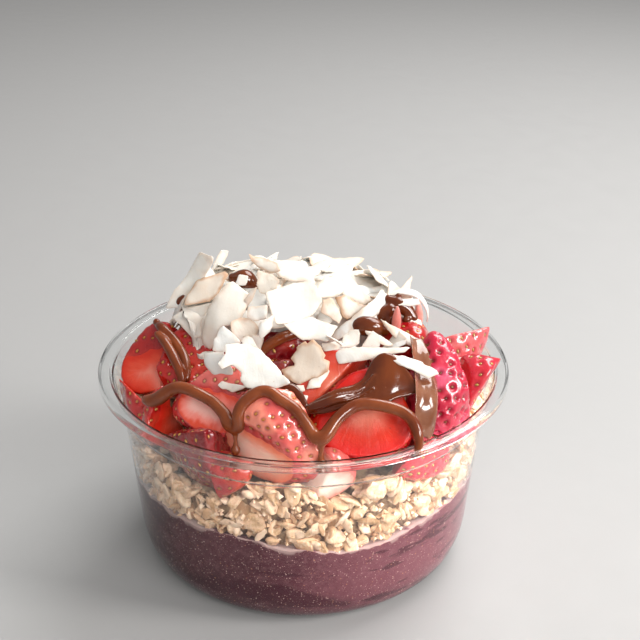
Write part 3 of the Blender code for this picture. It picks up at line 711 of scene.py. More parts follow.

# Core of the bed: crumbs and dust, seen only in the gaps between the flakes, painted dark there as
# painted shade.
core_form = form_of(nodes["granola"].data, 0.01)
bmesh.ops.triangulate(core_form, faces=core_form.faces)
bmesh.ops.subdivide_edges(core_form, edges=core_form.edges, cuts=2, use_grid_fill=True)
for vert in core_form.verts:
    flat = math.hypot(vert.co.x, vert.co.y)
    crumb = noise.noise(vert.co * 0.45) + 0.6 * noise.noise(vert.co * 1.1)
    if flat > 50 and flat > wall_outside(vert.co.z) - SHEET - 6.0:
        drawn_in = 1 - (3.2 - 1.1 * crumb) / flat
        vert.co.x *= drawn_in
        vert.co.y *= drawn_in
    if vert.co.z < PUREE_H + 2:
        vert.co.z -= dip(math.atan2(vert.co.y, vert.co.x) % (2 * math.pi)) + 0.6
    if vert.co.z > PUREE_H + 4:
        vert.co.z -= 1.0 - 0.7 * crumb
crumbs_and_gap_shade, tree, shader, place = finish("oat_crumbs_and_gap_shade")
crumb = clouds(tree, place, 300.0, 4.0)
colour = mix(tree, fade(tree, crumb, 0.35, 0.65), OAT_GAP_SHADE, OAT_DUST)
dress(tree, shader, {"Base Color": colour, "Roughness": 0.85, "Normal": bump(tree, crumb, 0.8, 0.001)})
bed = solid("oat_bed", [vert.co.copy() for vert in core_form.verts],
            [[vert.index for vert in face.verts] for face in core_form.faces], crumbs_and_gap_shade)
core_form.free()
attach(bed, "root")
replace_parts(bed, "granola")


# ---------------------------------------------------------------------------------------------
# Strawberries. Ripe berries hulled and cut into halves and chunks: glossy skin with a seed in
# each pit, flat wet cut faces that pale from the skin towards the core, laid in by hand.
# ---------------------------------------------------------------------------------------------
# Flat faces larger than this are cuts; a cut with this many corners runs across the stem
CUT_AREA = 62.0
STEM_CORNERS = 11
FINE_VOXEL = 0.62
COARSE_VOXEL = 0.85
PIT_GAP = 3.3
PIT_REACH = 1.65
# Pits are painted this much darker than the skin: painted shade in the hollows
PIT_SHADE = 0.42
SEED_LENGTH = 1.6
# Piece: variety, pit depth; pieces left out are ripe with ordinary pits
PIECES = {
    "right_tall": ("magenta", 1.20), "right_point": ("pink", 0.60), "right_edge": ("rosy", 0.50),
    "front_mid": ("salmon", 0.55), "front_left_top": ("blush", 0.45), "front_left_low": ("dark", 0.60),
    "front_right": ("bright", 0.45), "mid_front": ("orange", 0.35), "left_wedge": ("wedge", 0.45),
    "left_inner": ("ripe", 0.60), "left_low": ("ripe", 0.45), "left_front_low": ("ripe", 0.45),
    "front_low_mid": ("pale", 0.40), "front_low_left": ("orange", 0.40), "right_low": ("rosy", 0.45),
    "mid_dark": ("dark", 0.45), "under_flakes": ("dark", 0.45), "mid_right_cut": ("orange", 0.40),
}
COARSE_PIECES = ("back_", "inner_back")
# Skin that laps over part of a cut: a point on the line, the way to the skin, swell and paleness
WRAPS = {
    "front_mid": (((-21.2, -51.2, 76.6), (0.15, -0.31, 0.94), 1.1, 0.2),),
    "front_left_top": (((-40.5, -35.5, 80.8), (0.29, 0.53, 0.80), 1.3, 0.8),
                       ((-35.0, -46.0, 68.6), (-0.19, -0.57, -0.80), 1.6, 0.0)),
    "front_left_low": (((0.0, 0.0, 40.0), (0.0, 0.0, 1.0), 1.6, 0.0),),
    "left_front_low": (((-50.2, -34.6, 71.5), (-0.61, -0.64, 0.47), 1.2, 0.3),),
    # right_tall is skin all over; its paleness is painted sheen, paler skin that stands in for its
    # highlights
    "right_tall": (((0.0, 0.0, 40.0), (0.0, 0.0, 1.0), 0.0, 0.10),),
    "mid_dark": (((0.0, 0.0, 40.0), (0.0, 0.0, 1.0), 0.4, 0.0),),
    "left_inner": (((0.0, 0.0, 40.0), (0.0, 0.0, 1.0), 0.4, 0.35),),
    "left_wedge": (((-54.8, -7.8, 79.9), (-0.22, 0.68, 0.69), 1.0, 0.0),),
}
# Pieces set a little aside: x, y, z
MOVES = {
    "left_wedge": (-2.0, 0.5, 2.2), "left_low": (-1.2, -0.5, 4.0), "front_left_top": (2.0, 1.0, 2.6),
    "mid_front": (2.6, -2.4, 1.4), "right_edge": (4.2, -0.6, 0.6),
}
# Share by which a piece is cut taller
TALLER = {"front_left_low": 0.52, "right_point": 0.20}
# Pieces that lean along x below a height: lean, height
LEANS = {"front_low_mid": (-0.32, 70.0), "right_edge": (-0.40, 84.0)}
# Room inside the wall at each height; nothing holds a piece above the rim
WALL_HEIGHTS = (0.0, TAPER_H, STEP_H, RIM_H - 1.0, RIM_H + 0.5, RIM_H + 1.5)
WALL_ROOM = (TAPER_R - 1.4, TAPER_R - SHEET, wall_outside(STEP_H) - SHEET,
             RIM_R - 5.4, RIM_R - 5.2, 99.0)
# Variety: skin, flesh under the skin, flesh further in, core, depth at which the core starts, seeds
VARIETIES = {
    "ripe": ("#a80a14", "#ca2414", "#d04028", "#dc806a", 10.0, "#b8843a"),
    "bright": ("#b00a10", "#cc1408", "#dc2c10", "#ea8068", 11.0, "#b98a45"),
    "wedge": ("#9c0e16", "#d0301a", "#de4e34", "#ea9480", 7.8, "#b07030"),
    "pale": ("#c8504c", "#dc8072", "#ecb4a4", "#f8dccf", 4.0, "#a86a3c"),
    "orange": ("#a01016", "#bc2c14", "#c43e22", "#d47c60", 10.0, "#a0602c"),
    "salmon": ("#cc4a4e", "#f88262", "#fea488", "#ffd2c0", 5.0, "#b06a28"),
    "blush": ("#c83a42", "#ea5238", "#fa8e80", "#ffc0b4", 4.4, "#c9a070"),
    "rosy": ("#c02438", "#ca2c30", "#d85052", "#e8948c", 8.0, "#a08a44"),
    "pink": ("#cc5a60", "#d8645a", "#e28a80", "#f0b0a4", 6.0, "#a08a44"),
    "magenta": ("#ba1236", "#c8243c", "#e8688a", "#f2a8ac", 9.0, "#5e0c18"),
    "dark": ("#780a14", "#901a16", "#a83a2c", "#c47a68", 9.0, "#c4944a"),
}
THREAD_WHITE = "#f0bcae"
CUT_DOT = "#8a2418"
SEED_STRAW = "#d8ac58"


def tone(code):
    """A linear colour from a written one such as #c08a3c."""
    parts = [int(code[k:k + 2], 16) / 255 for k in (1, 3, 5)]
    return tuple(p / 12.92 if p < 0.04045 else ((p + 0.055) / 1.055) ** 2.4 for p in parts) + (1,)


def flesh_and_skin(name):
    """A piece with its flat faces whole, cut faces as material 1, and the way to its stem."""
    form = form_of(nodes[name].data, 0.03)
    bmesh.ops.dissolve_limit(form, angle_limit=math.radians(1.6), verts=form.verts, edges=form.edges)
    stem = None
    for face in form.faces:
        middle = face.calc_center_median()
        outward = Vector((middle.x, middle.y, 0))
        room = wall_outside(middle.z) - SHEET - outward.length
        pressed = room < 1.6 and face.normal.dot(outward.normalized()) > 0.93
        face.material_index = 1 if face.calc_area() > CUT_AREA and not pressed else 0
        if face.material_index and len(face.verts) >= STEM_CORNERS:
            if stem is None or face.calc_area() > stem[0]:
                stem = (face.calc_area(), -face.normal)
    crease = form.edges.layers.float.new("crease_edge")
    for edge in form.edges:
        sides = [face.material_index for face in edge.link_faces]
        if max(sides) and edge.calc_face_angle(0.0) > math.radians(14):
            edge[crease] = 1.0
    mesh = bpy.data.meshes.new("piece_form")
    form.to_mesh(mesh)
    form.free()
    return mesh, stem[1] if stem else None


def shaped(mesh, *settings):
    """A copy of a mesh after modifiers, each given as (kind, values)."""
    holder = bpy.data.objects.new("shaping", mesh)
    bpy.context.scene.collection.objects.link(holder)
    for kind, values in settings:
        modifier = holder.modifiers.new(kind, kind)
        for key, value in values.items():
            setattr(modifier, key, value)
    graph = bpy.context.evaluated_depsgraph_get()
    made = bpy.data.meshes.new_from_object(holder.evaluated_get(graph))
    bpy.data.objects.remove(holder)
    return made


def faces_of(mesh):
    """A mesh's faces as tuples of point numbers."""
    return [tuple(face.vertices) for face in mesh.polygons]


def corners_of(mesh):
    """A mesh's points as rows of an array."""
    points = np.empty(len(mesh.vertices) * 3, np.float32)
    mesh.vertices.foreach_get("co", points)
    return points.reshape(-1, 3).astype(float)


def evened(mesh, points, rounds, strength):
    """Points moved towards the middle of their neighbours."""
    pairs = np.empty(len(mesh.edges) * 2, np.int32)
    mesh.edges.foreach_get("vertices", pairs)
    a, b = pairs.reshape(-1, 2).T
    count = np.bincount(pairs, minlength=len(points))[:, None]
    for _ in range(rounds):
        total = np.zeros_like(points)
        np.add.at(total, a, points[b])
        np.add.at(total, b, points[a])
        points = points + strength * (total / count - points)
    return points


def kind_trees(mesh):
    """Search trees over the skin faces and over the cut faces."""
    points = [vert.co.copy() for vert in mesh.vertices]
    sorted_faces = ([], [])
    for face in mesh.polygons:
        sorted_faces[face.material_index].append(list(face.vertices))
    return [BVHTree.FromPolygons(points, faces) if faces else None for faces in sorted_faces]


all_solids = tree_over([name for name in nodes if name not in ("bowl", "granola", "acai")
                        and not name.startswith("coconut_chip")])
SIXTH_TURN = 1.047
COVER_REACH = 14.0


def buried(point, normal):
    """True if nothing can be seen from just above a point of the surface."""
    side = normal.orthogonal().normalized()
    start = point + normal * 0.9
    for k in range(7):
        lean = Matrix.Rotation(k * SIXTH_TURN, 3, normal) @ side * (0.0 if k == 6 else 1.0)
        toward = (normal + lean).normalized()
        if all_solids.ray_cast(start, toward, COVER_REACH)[0] is None:
            return False
    return True


def smooth_step(values, low, high):
    """0 below low, 1 above high and smooth between them."""
    t = np.clip((values - low) / (high - low), 0, 1)
    return t * t * (3 - 2 * t)


SEED_RINGS = ((-0.50, 0.0), (-0.24, 0.40), (0.16, 0.47), (0.50, 0.0))


def seed_shape():
    """One seed lying along X: a small teardrop of two rings."""
    made = []
    for x, r in SEED_RINGS:
        if r == 0.0:
            made.append((x, 0, 0))
            continue
        made += [(x, r * 0.62 * math.cos(k * math.pi / 3), r * 0.36 * math.sin(k * math.pi / 3))
                 for k in range(6)]
    faces = []
    for k in range(6):
        on = (k + 1) % 6
        faces += [(0, 1 + on, 1 + k), (1 + k, 1 + on, 7 + on, 7 + k), (13, 7 + k, 7 + on)]
    return made, faces


def strawberry_finish(variety):
    """Glossy skin, and flesh that pales from the skin towards the core."""
    skin, rind, flesh, core, core_depth, _ = VARIETIES[variety]
    made, tree, shader, place = finish("strawberry_" + variety)
    depth = stored(tree, "depth")
    root = stored(tree, "root", "Vector")
    pit = stored(tree, "pit")
    tint = stored(tree, "tint")
    cloud = clouds(tree, place, 120.0)
    fine = clouds(tree, place, 1500.0)
    wrinkle = clouds(tree, place, 420.0, 2.0)
    # Veins run straight in from the skin, so they follow the nearest point of the skin.
    veins = clouds(tree, root, 0.55, Roughness=0.6)
    threads = clouds(tree, root, 0.8, Distortion=0.6)
    streak = calc(tree, "MULTIPLY_ADD", veins, 2.4, calc(tree, "MULTIPLY_ADD", cloud, 5.0, -3.7))
    deep = calc(tree, "ADD", depth, streak)
    inner = mix(tree, fade(tree, deep, 0.6, core_depth * 0.62), tone(rind), tone(flesh))
    inner = mix(tree, fade(tree, deep, core_depth * 0.55, core_depth * 1.35), inner, tone(core))
    pale = calc(tree, "MULTIPLY", fade(tree, threads, 0.52, 0.80), fade(tree, depth, 1.5, 5.0, 0.0, 0.11))
    inner = mix(tree, pale, inner, tone(THREAD_WHITE))
    # Painted shade: the skin is painted darker in the pits
    shade = tuple(c * PIT_SHADE for c in tone(skin)[:3]) + (1,)
    skin_colour = layered(tree, tone(skin), (cloud, 0.3, 0.75, 0.35, tone(rind)),
                          (tint, 0.0, 1.0, 0.6, tone(flesh)), (pit, 0.2, 1.0, 0.65, shade))
    cut = fade(tree, depth, 0.12, 0.50)
    colour = mix(tree, cut, skin_colour, inner)
    dots = place_group(tree, flecks_of, Place=place, Scale=420.0, Size=0.09, Share=0.16)
    dotted = calc(tree, "MULTIPLY", calc(tree, "MULTIPLY", dots["Flecks"], cut), 0.6)
    colour = mix(tree, dotted, colour, tone(CUT_DOT))
    wet = fade(tree, cloud, 0.35, 0.65, 0.22, 0.42)
    rough = add(tree, "MapRange", {0: cut, 3: 0.24, 4: 0.40}).outputs[0]
    skin_relief = calc(tree, "MULTIPLY_ADD", wrinkle, 0.8, calc(tree, "MULTIPLY", fine, 0.35))
    cut_relief = calc(tree, "MULTIPLY", calc(tree, "MULTIPLY", threads, cut), 0.5)
    relief = calc(tree, "ADD", skin_relief, cut_relief)
    dress(tree, shader, {
        "Base Color": colour,
        "Roughness": calc(tree, "MULTIPLY_ADD", wet, 0.5, calc(tree, "MULTIPLY", rough, 0.5)),
        "Coat Weight": calc(tree, "MULTIPLY_ADD", cut, -0.6, 1.0), "Coat Roughness": 0.06,
        "Specular IOR Level": 0.40, "Subsurface Weight": 0.12,
        "Subsurface Radius": (0.0040, 0.0012, 0.0008), "Subsurface Scale": 0.7,
        "Normal": bump(tree, relief, 0.35, 0.0007),
    })
    return made


def mark_berry(piece, depth, root, pit, tint):
    """What the strawberry finishes read: depth under the skin, its nearest point, pits, paleness and
    painted sheen.
    """
    mark(piece, "depth", depth)
    mark(piece, "root", root, "FLOAT_VECTOR")
    mark(piece, "pit", pit)
    mark(piece, "tint", tint)


strawberry_surfaces = {variety: strawberry_finish(variety) for variety in VARIETIES}
fruit_forms = []
seed_points = []
seed_faces = []
seed_tints = []
one_seed, one_seed_faces = seed_shape()
rng = random.Random(5)
for name in fruit_names:
    short = name.removeprefix("strawberry_")
    variety, pit_depth = PIECES.get(short, ("ripe", 0.45))
    voxel = COARSE_VOXEL if short.startswith(COARSE_PIECES) else FINE_VOXEL
    flat_form, axis = flesh_and_skin(name)
    rounding = ("SUBSURF", {"levels": 3, "render_levels": 3})
    smooth_form = shaped(flat_form, rounding)
    fine_form = shaped(flat_form, rounding, ("REMESH", {"mode": "VOXEL", "voxel_size": voxel}))
    skin_tree, cut_tree = kind_trees(smooth_form)
    points = evened(fine_form, corners_of(fine_form), 3, 0.5)
    fine_form.vertices.foreach_set("co", points.ravel())
    fine_form.update()
    normals = np.array([vert.normal for vert in fine_form.vertices])
    if axis is None:
        spread = points - points.mean(0)
        axis = Vector(np.linalg.eigh(spread.T @ spread)[1][:, 2])
    depth = np.zeros(len(points))
    root = points.copy()
    from_cut = np.full(len(points), 50.0)
    for k, point in enumerate(points):
        near_skin = skin_tree.find_nearest(point)
        near_cut = cut_tree.find_nearest(point) if cut_tree else (None, None, None, 50.0)
        from_cut[k] = near_cut[3]
        if near_cut[3] < near_skin[3]:
            depth[k] = near_skin[3]
            root[k] = near_skin[0]

    swell = np.zeros(len(points))
    pale_skin_and_sheen = np.zeros(len(points))
    cut_depth = depth.copy()
    wobble = np.array([noise.noise(Vector(point) * 0.35) for point in points])
    for start, way, most, paleness in WRAPS.get(short, ()):
        beyond = (points - np.array(start)) @ np.array(way) + 1.2 * wobble
        swell += most * smooth_step(beyond, -0.4, 5.0) * smooth_step(cut_depth, 0.0, 4.0)
        pale_skin_and_sheen += paleness * smooth_step(beyond, -1.0, 2.0)
        depth = np.where(depth > 0, np.clip(-beyond, 0.0, depth), 0.0)
        from_cut = np.maximum(from_cut, beyond)

    # Pits keep a distance from each other and from the cut edges; a seed lies in each.
    order = [k for k in range(len(points)) if depth[k] == 0.0 and from_cut[k] > 1.3]
    rng.shuffle(order)
    gap = PIT_GAP * rng.uniform(0.94, 1.06)
    taken = {}
    pits = []
    for k in order:
        cell = tuple(int(c // gap) for c in points[k])
        around = [taken.get((cell[0] + a, cell[1] + b, cell[2] + c), ())
                  for a in (-1, 0, 1) for b in (-1, 0, 1) for c in (-1, 0, 1)]
        if all(np.linalg.norm(points[k] - points[m]) > gap for group in around for m in group):
            taken.setdefault(cell, []).append(k)
            pits.append(k)
    pit_tree = KDTree(max(1, len(pits)))
    for k in pits:
        pit_tree.insert(points[k], k)
    pit_tree.balance()
    away = np.array([pit_tree.find(point)[2] if pits else 9.0 for point in points])
    pit = (1 - smooth_step(away, 0.25, PIT_REACH)) * (depth == 0)
    ripple = np.array([noise.noise(Vector(point) * 0.22) for point in points])
    moved = points + normals * (swell - pit * pit_depth)[:, None]
    moved += normals * (ripple * np.where(depth > 0.8, 0.22, 0.30))[:, None]
    aside = np.tile(np.array(MOVES.get(short, (0.0, 0.0, 0.0))), (len(points), 1))
    lean, lean_from = LEANS.get(short, (0.0, 0.0))
    aside[:, 0] += lean * np.maximum(0.0, lean_from - points[:, 2])
    aside[:, 2] += TALLER.get(short, 0.0) * (points[:, 2] - points[:, 2].min())
    moved += aside
    room = np.interp(moved[:, 2], WALL_HEIGHTS, WALL_ROOM)
    moved[:, :2] *= np.minimum(1.0, room / np.hypot(moved[:, 0], moved[:, 1]))[:, None]

    made = bpy.data.objects.new("berry_" + short, fine_form)
    bpy.context.scene.collection.objects.link(made)
    fine_form.vertices.foreach_set("co", (moved * MM).ravel())
    fine_form.update()
    fine_form.shade_smooth()
    fine_form.materials.clear()
    fine_form.materials.append(strawberry_surfaces[variety])
    patches = smooth_step(np.array([noise.noise(Vector(point) * 0.09) for point in points]), 0.05, 0.55)
    mark_berry(made, depth, root, pit, np.clip(patches + pale_skin_and_sheen, 0.0, 1.0))
    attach(made, "root")
    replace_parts(made, name)
    fruit_forms.append((moved, faces_of(fine_form)))

    for k in pits:
        normal = Vector(normals[k])
        spot = Vector(points[k] + aside[k]) + normal * (swell[k] - pit_depth + 0.10)
        if buried(Vector(points[k]), normal):
            continue
        along = (axis - normal * axis.dot(normal))
        along = along.normalized() if along.length > 0.1 else normal.orthogonal().normalized()
        along = Matrix.Rotation(rng.gauss(0, 0.25), 3, normal) @ along
        across = normal.cross(along)
        size = SEED_LENGTH * rng.uniform(0.85, 1.12)
        start = len(seed_points)
        seed_points += [spot + (along * x + across * y + normal * z) * size for x, y, z in one_seed]
        seed_faces += [tuple(start + m for m in face) for face in one_seed_faces]
        seed_tints += [tone(VARIETIES[variety][5])[:3]] * len(one_seed)

seed_coat, tree, shader, place = finish("strawberry_seeds")
own = stored(tree, "own_colour", "Vector")
husk = clouds(tree, place, 1400.0, 2.0)
dress(tree, shader, {
    "Base Color": layered(tree, own, (husk, 0.3, 0.7, 0.3, tone(SEED_STRAW))),
    "Roughness": fade(tree, husk, 0.3, 0.7, 0.30, 0.50), "Coat Weight": 0.4, "Coat Roughness": 0.10,
})
seeds = solid("strawberry_seeds", seed_points, seed_faces, seed_coat)
mark(seeds, "own_colour", seed_tints, "FLOAT_VECTOR")
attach(seeds, "root")

# Two thin slices stand in the sauce at the right: middle, half sizes, lean, variety
SLICES = (((32.6, -14.2, 98.0), (1.6, 1.2, 5.0), 0.02, "pink"),
          ((41.0, -6.5, 97.4), (1.3, 1.0, 5.2), -0.10, "blush"))
SLICE_TAPER = 0.35
for number, (middle, halves, lean, variety) in enumerate(SLICES):
    form = bmesh.new()
    bmesh.ops.create_icosphere(form, subdivisions=4, radius=1.0)
    points = []
    for vert in form.verts:
        x, y, z = vert.co
        points.append((middle[0] + halves[0] * (x * (1 - SLICE_TAPER * z) + lean * z * 5),
                       middle[1] + halves[1] * y, middle[2] + halves[2] * z))
    faces = [[vert.index for vert in face.verts] for face in form.faces]
    form.free()
    slice_made = solid("berry_slice_" + str(number + 1), points, faces, strawberry_surfaces[variety])
    none = np.zeros(len(points))
    mark_berry(slice_made, none + 4.0, points, none, none)
    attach(slice_made, "root")


# ---------------------------------------------------------------------------------------------
# Chocolate sauce. Thin milk-chocolate sauce drizzled in zigzags over the cut fruit: round cords
# that cling to each berry, hang across the gaps and end in drops, and a thick folded dollop.
# ---------------------------------------------------------------------------------------------
SAUCE_VOXEL = 0.36
SAUCE_BUBBLE = "#9a6a4c"
SUNK = 0.55
# Piece: how far fruit draws a cord in, or None where it keeps its place, and its cords as points
# of x, y, z and radius
CORDS = {
    "sauce_front": (1.0, [
        [(-53.5, -33, 75, 1.5), (-51, -36, 77.5, 2.5), (-48, -38, 80.5, 2.5), (-43, -39, 84.5, 2.2),
         (-37, -42, 84.5, 2.1), (-29, -46, 81.5, 2.1), (-22.8, -51, 76, 2.6), (-17.5, -50, 80.5, 2.2),
         (-13, -49, 85, 2.1), (-6, -52, 84, 2.1), (0, -56, 81, 2.1), (5.7, -60.5, 76.5, 2.6),
         (11, -56, 82, 2.2), (18, -52, 85, 2.2), (26, -53, 85, 2.1), (34, -55, 83, 2.1),
         (37, -59, 79, 2.0), (37.6, -61, 76, 1.6), (37.5, -61.8, 72.8, 1.6)],
    ]),
    "sauce_left": (0.8, [
        [(-53, -3, 91.5, 1.4), (-50.6, -7.5, 91, 1.9), (-46.3, -10.5, 88.2, 2.0), (-42.6, -16, 84.5, 2.0),
         (-41.2, -20.5, 81.5, 1.9), (-41.0, -23.5, 79.5, 1.4)],
        [(-52, -10, 90, 1.3), (-49.4, -13, 89, 1.7), (-46.2, -18.6, 86.4, 1.9), (-43.2, -23.6, 82.6, 1.8),
         (-42.4, -26, 80, 1.5)],
    ]),
    "sauce_right": (None, [
        [(39.4, -24.5, 95.6, 3.2), (40.4, -30.5, 94.1, 4.0), (40.9, -36.8, 90.0, 4.1),
         (41.0, -44, 86.9, 4.1), (40.6, -49.3, 82.8, 3.9), (39.9, -52.2, 76.5, 3.4),
         (39.2, -53.0, 73.5, 2.4)],
    ]),
    "sauce_mid": (1.0, [
        [(-19, -38, 86.5, 1.5), (-14.5, -40.5, 87.2, 1.9), (-9, -43, 87.6, 1.8), (-4, -46.5, 86, 1.8),
         (1, -49.5, 83.5, 1.4)],
        [(-22, -38.5, 83.5, 0.9), (-17, -41, 85.5, 1.1), (-12, -44.5, 85.4, 0.9)],
    ]),
    "sauce_hole": (5.0, [
        [(-17, -21, 88, 1.2), (-13.5, -18.5, 90, 1.9), (-8, -15.5, 92, 2.1), (-3, -12.5, 93, 2.0),
         (2, -9.5, 94, 1.5)],
    ]),
    "sauce_drops": (None, [
        [(17.5, -15.5, 94.6, 2.6), (20.6, -16.5, 96.4, 3.6), (24.6, -16.8, 96.0, 3.4),
         (28.2, -15, 94, 2.2)],
        [(24, -9, 96.2, 1.9), (27, -10, 97.6, 2.8), (30.4, -9.5, 99.0, 2.8)],
        [(30, -6.5, 101.8, 2.0), (33.2, -7, 100.4, 3.0), (36.4, -7.5, 98.6, 2.6), (38.8, -9, 96.0, 1.9)],
        [(29, -5.5, 101.0, 1.8), (27.4, -5.5, 102.6, 1.2)], [(33.6, -6, 103, 1.3), (33, -6.4, 101, 1.6)],
        [(29.8, -12, 96.4, 1.7), (29.4, -13.6, 93.0, 0.9)],
        [(36.4, -10.6, 96, 1.6), (37.6, -11.4, 92.6, 0.9)],
        [(26.6, -12, 95, 1.5), (25.6, -13, 94, 1.5)],
        [(-25.5, 6.5, 104.6, 2.0), (-21.5, 5.5, 104.4, 3.9), (-18.2, 5, 102, 2.8)],
        [(-46, 4, 95, 1.2), (-44.6, 3.5, 97, 1.5), (-43.6, 3, 98.6, 1.0)],
    ]),
    "sauce_dollop": (None, [
        [(-4, -50.8, 82, 0.8), (-1, -50.6, 82.3, 1.0), (2, -51, 82.2, 1.2), (5, -50.8, 83, 1.2)],
    ]),
}
# Drops that hang from the lowest bends of the front cord: x, length, neck, drop radius
DRIPS = ((-22.6, 8.2, 0.75, 1.8), (5.8, 9.0, 0.95, 2.1))
# The broad strand: the way it lies across, how far it sags at its edges, and its thickness
BROAD_ACROSS = (1.0, 0.30)
BROAD_SAG = 0.7
BROAD_BACK = (0.2, 1.6, -1.6)
# The dollop's face, from its crest to its lip: crest point, lip point, how far it swells out
DOLLOP_FACE = (
    ((1, -50.5, 82.4), (1, -51, 81.4), 0.0), ((4, -50, 84.3), (5.5, -51.5, 81.6), 0.5),
    ((8, -48.5, 86), (9.5, -51.5, 82.6), 0.7), ((11.5, -47, 87), (13.5, -51.5, 83.7), 0.6),
    ((15.5, -45.5, 87.2), (17, -51, 84.3), 0.2), ((18.5, -44, 87.8), (20.5, -50.5, 84.5), -0.4),
    ((21, -42, 89.2), (23.5, -50, 84.4), -0.7), ((22.3, -40, 91.3), (26.5, -49.5, 84.4), -0.3),
    ((24, -38.2, 93.7), (28.5, -48.8, 84.8), 0.6), ((26.5, -37.4, 95.3), (30.5, -47.8, 85.2), 1.0),
    ((29.5, -37.7, 94.9), (32.5, -47, 85.4), 0.8), ((32.2, -39.5, 92.7), (34.5, -46.3, 85.4), 0.3),
    ((34.8, -41.5, 90.2), (36, -45.6, 85.7), 0.0), ((37.2, -44, 87), (37.2, -45, 86), 0.0),
)
DOLLOP_OUT = np.array((0.0, -0.66, 0.75))
DOLLOP_BACK = (0.02, 2.6, -1.6)
# Steps that round off the end of a cord
CORD_ENDS = (0.04, 0.35, 0.7, 1.1)


def through(waypoints, step=0.5):
    """Even steps of a smooth path through points of any size; the first three numbers are a place."""
    ends = np.array([waypoints[0], *waypoints, waypoints[-1]], float)
    made = []
    for a, b, c, d in zip(ends, ends[1:], ends[2:], ends[3:]):
        count = max(2, int(np.linalg.norm((c - b)[:3]) / step))
        for t in np.arange(count) / count:
            made.append(0.5 * (2 * b + (c - a) * t + (2 * a - 5 * b + 4 * c - d) * t * t
                               + (3 * b - a - 3 * c + d) * t ** 3))
    return np.array(made + [ends[-1]])


def laid_on(path, tree, draw):
    """A cord's path moved so that the fruit it touches holds it, sunk a little way in."""
    for _ in range(6):
        for point in path:
            spot, normal, _, _ = tree.find_nearest(point[:3])
            gap = (Vector(point[:3]) - spot).dot(normal) - SUNK * point[3]
            if gap < draw:
                point[:3] -= np.array(normal) * gap * (0.8 if gap < 0 else 0.5)
        for _ in range(5):
            path[1:-1, :3] = 0.25 * path[:-2, :3] + 0.5 * path[1:-1, :3] + 0.25 * path[2:, :3]
    return path


def cord(path, around=14):
    """Points and faces of a round cord along a path of (x, y, z, radius), with round ends."""
    along = np.gradient(path[:, :3], axis=0)
    along /= np.linalg.norm(along, axis=1)[:, None]

    def end_rings(end, sign, leans):
        middle, way, radius = path[end, :3], along[end], path[end, 3]
        return [(middle + sign * way * radius * math.cos(lean), way, radius * math.sin(lean))
                for lean in leans]

    rings = end_rings(0, -1, CORD_ENDS)
    rings += [(point[:3], way, point[3]) for point, way in zip(path, along)]
    rings += end_rings(-1, 1, CORD_ENDS[::-1])
    side = Vector(along[0]).orthogonal()
    points = []
    faces = []
    for number, (middle, way, radius) in enumerate(rings):
        way = Vector(way)
        side = (side - way * side.dot(way)).normalized()
        over = way.cross(side)
        for k in range(around):
            a = 2 * math.pi * k / around
            points.append(Vector(middle) + (side * math.cos(a) + over * math.sin(a)) * radius)
        if number:
            low = (number - 1) * around
            high = low + around
            faces += [(low + k, low + (k + 1) % around, high + (k + 1) % around, high + k)
                      for k in range(around)]
    last = len(points) - around
    faces += [tuple(range(around))[::-1], tuple(range(last, last + around))]
    return points, faces


def slab(rows, back):
    """A closed body between rows of points and the same rows moved back."""
    grid = np.array(rows, float)
    tall, wide = grid.shape[:2]
    points = np.concatenate([grid.reshape(-1, 3), grid.reshape(-1, 3) + np.array(back)])
    half = tall * wide
    faces = []
    for i in range(tall - 1):
        for j in range(wide - 1):
            k = i * wide + j
            faces.append((k, k + 1, k + wide + 1, k + wide))
            faces.append((half + k, half + k + wide, half + k + wide + 1, half + k + 1))
    border = list(range(wide)) + [i * wide + wide - 1 for i in range(1, tall)]
    border += [(tall - 1) * wide + j for j in range(wide - 2, -1, -1)]
    border += [i * wide for i in range(tall - 2, 0, -1)]
    for here, on in zip(border, border[1:] + border[:1]):
        faces.append((on, here, half + here, half + on))
    return list(points), faces


def melted(bodies, voxel, rounds):
    """Closed bodies run together into one smooth skin: its points and faces, in millimetres."""
    points = []
    faces = []
    for body_points, body_faces in bodies:
        faces += [tuple(len(points) + k for k in face) for face in body_faces]
        points += list(body_points)
    rough = bpy.data.meshes.new("melted")
    rough.from_pydata([tuple(point) for point in points], [], faces)
    made = shaped(rough, ("REMESH", {"mode": "VOXEL", "voxel_size": voxel}))
    return evened(made, corners_of(made), rounds, 0.5), faces_of(made)


fruit_points = []
fruit_faces = []
for name, (form_points, form_faces) in zip(fruit_names, fruit_forms):
    if form_points[:, 1].min() > 5 or "back" in name:
        continue
    fruit_faces += [[len(fruit_points) + k for k in face] for face in form_faces]
    fruit_points += form_points.tolist()
fruit_skin = BVHTree.FromPolygons(fruit_points, fruit_faces)


def sauce_finish(name, dark, light, gloss, coat):
    """Smooth chocolate with faint clouds and a few small bubbles."""
    made, tree, shader, place = finish(name)
    cloud = clouds(tree, place, 90.0)
    fine = clouds(tree, place, 700.0)
    colour = mix(tree, fade(tree, cloud, 0.30, 0.70), tone(dark), tone(light))
    bubbles = place_group(tree, flecks_of, Place=place, Scale=520.0, Size=0.10, Share=0.12)
    colour = mix(tree, calc(tree, "MULTIPLY", bubbles["Flecks"], 0.3), colour, tone(SAUCE_BUBBLE))
    dress(tree, shader, {
        "Base Color": colour, "Roughness": fade(tree, fine, 0.3, 0.7, gloss, gloss + 0.08),
        "Specular IOR Level": 0.25, "Coat Weight": coat, "Coat Roughness": 0.04,
        "Subsurface Weight": 0.08, "Subsurface Radius": (0.003, 0.0015, 0.0008), "Subsurface Scale": 0.5,
        "Normal": bump(tree, cloud, 0.12, 0.0008),
    })
    return made


milk_chocolate = sauce_finish("chocolate_sauce", "#662a10", "#864422", 0.18, 0.5)
dark_chocolate = sauce_finish("thick_chocolate_sauce", "#4e1d0a", "#683012", 0.10, 0.6)
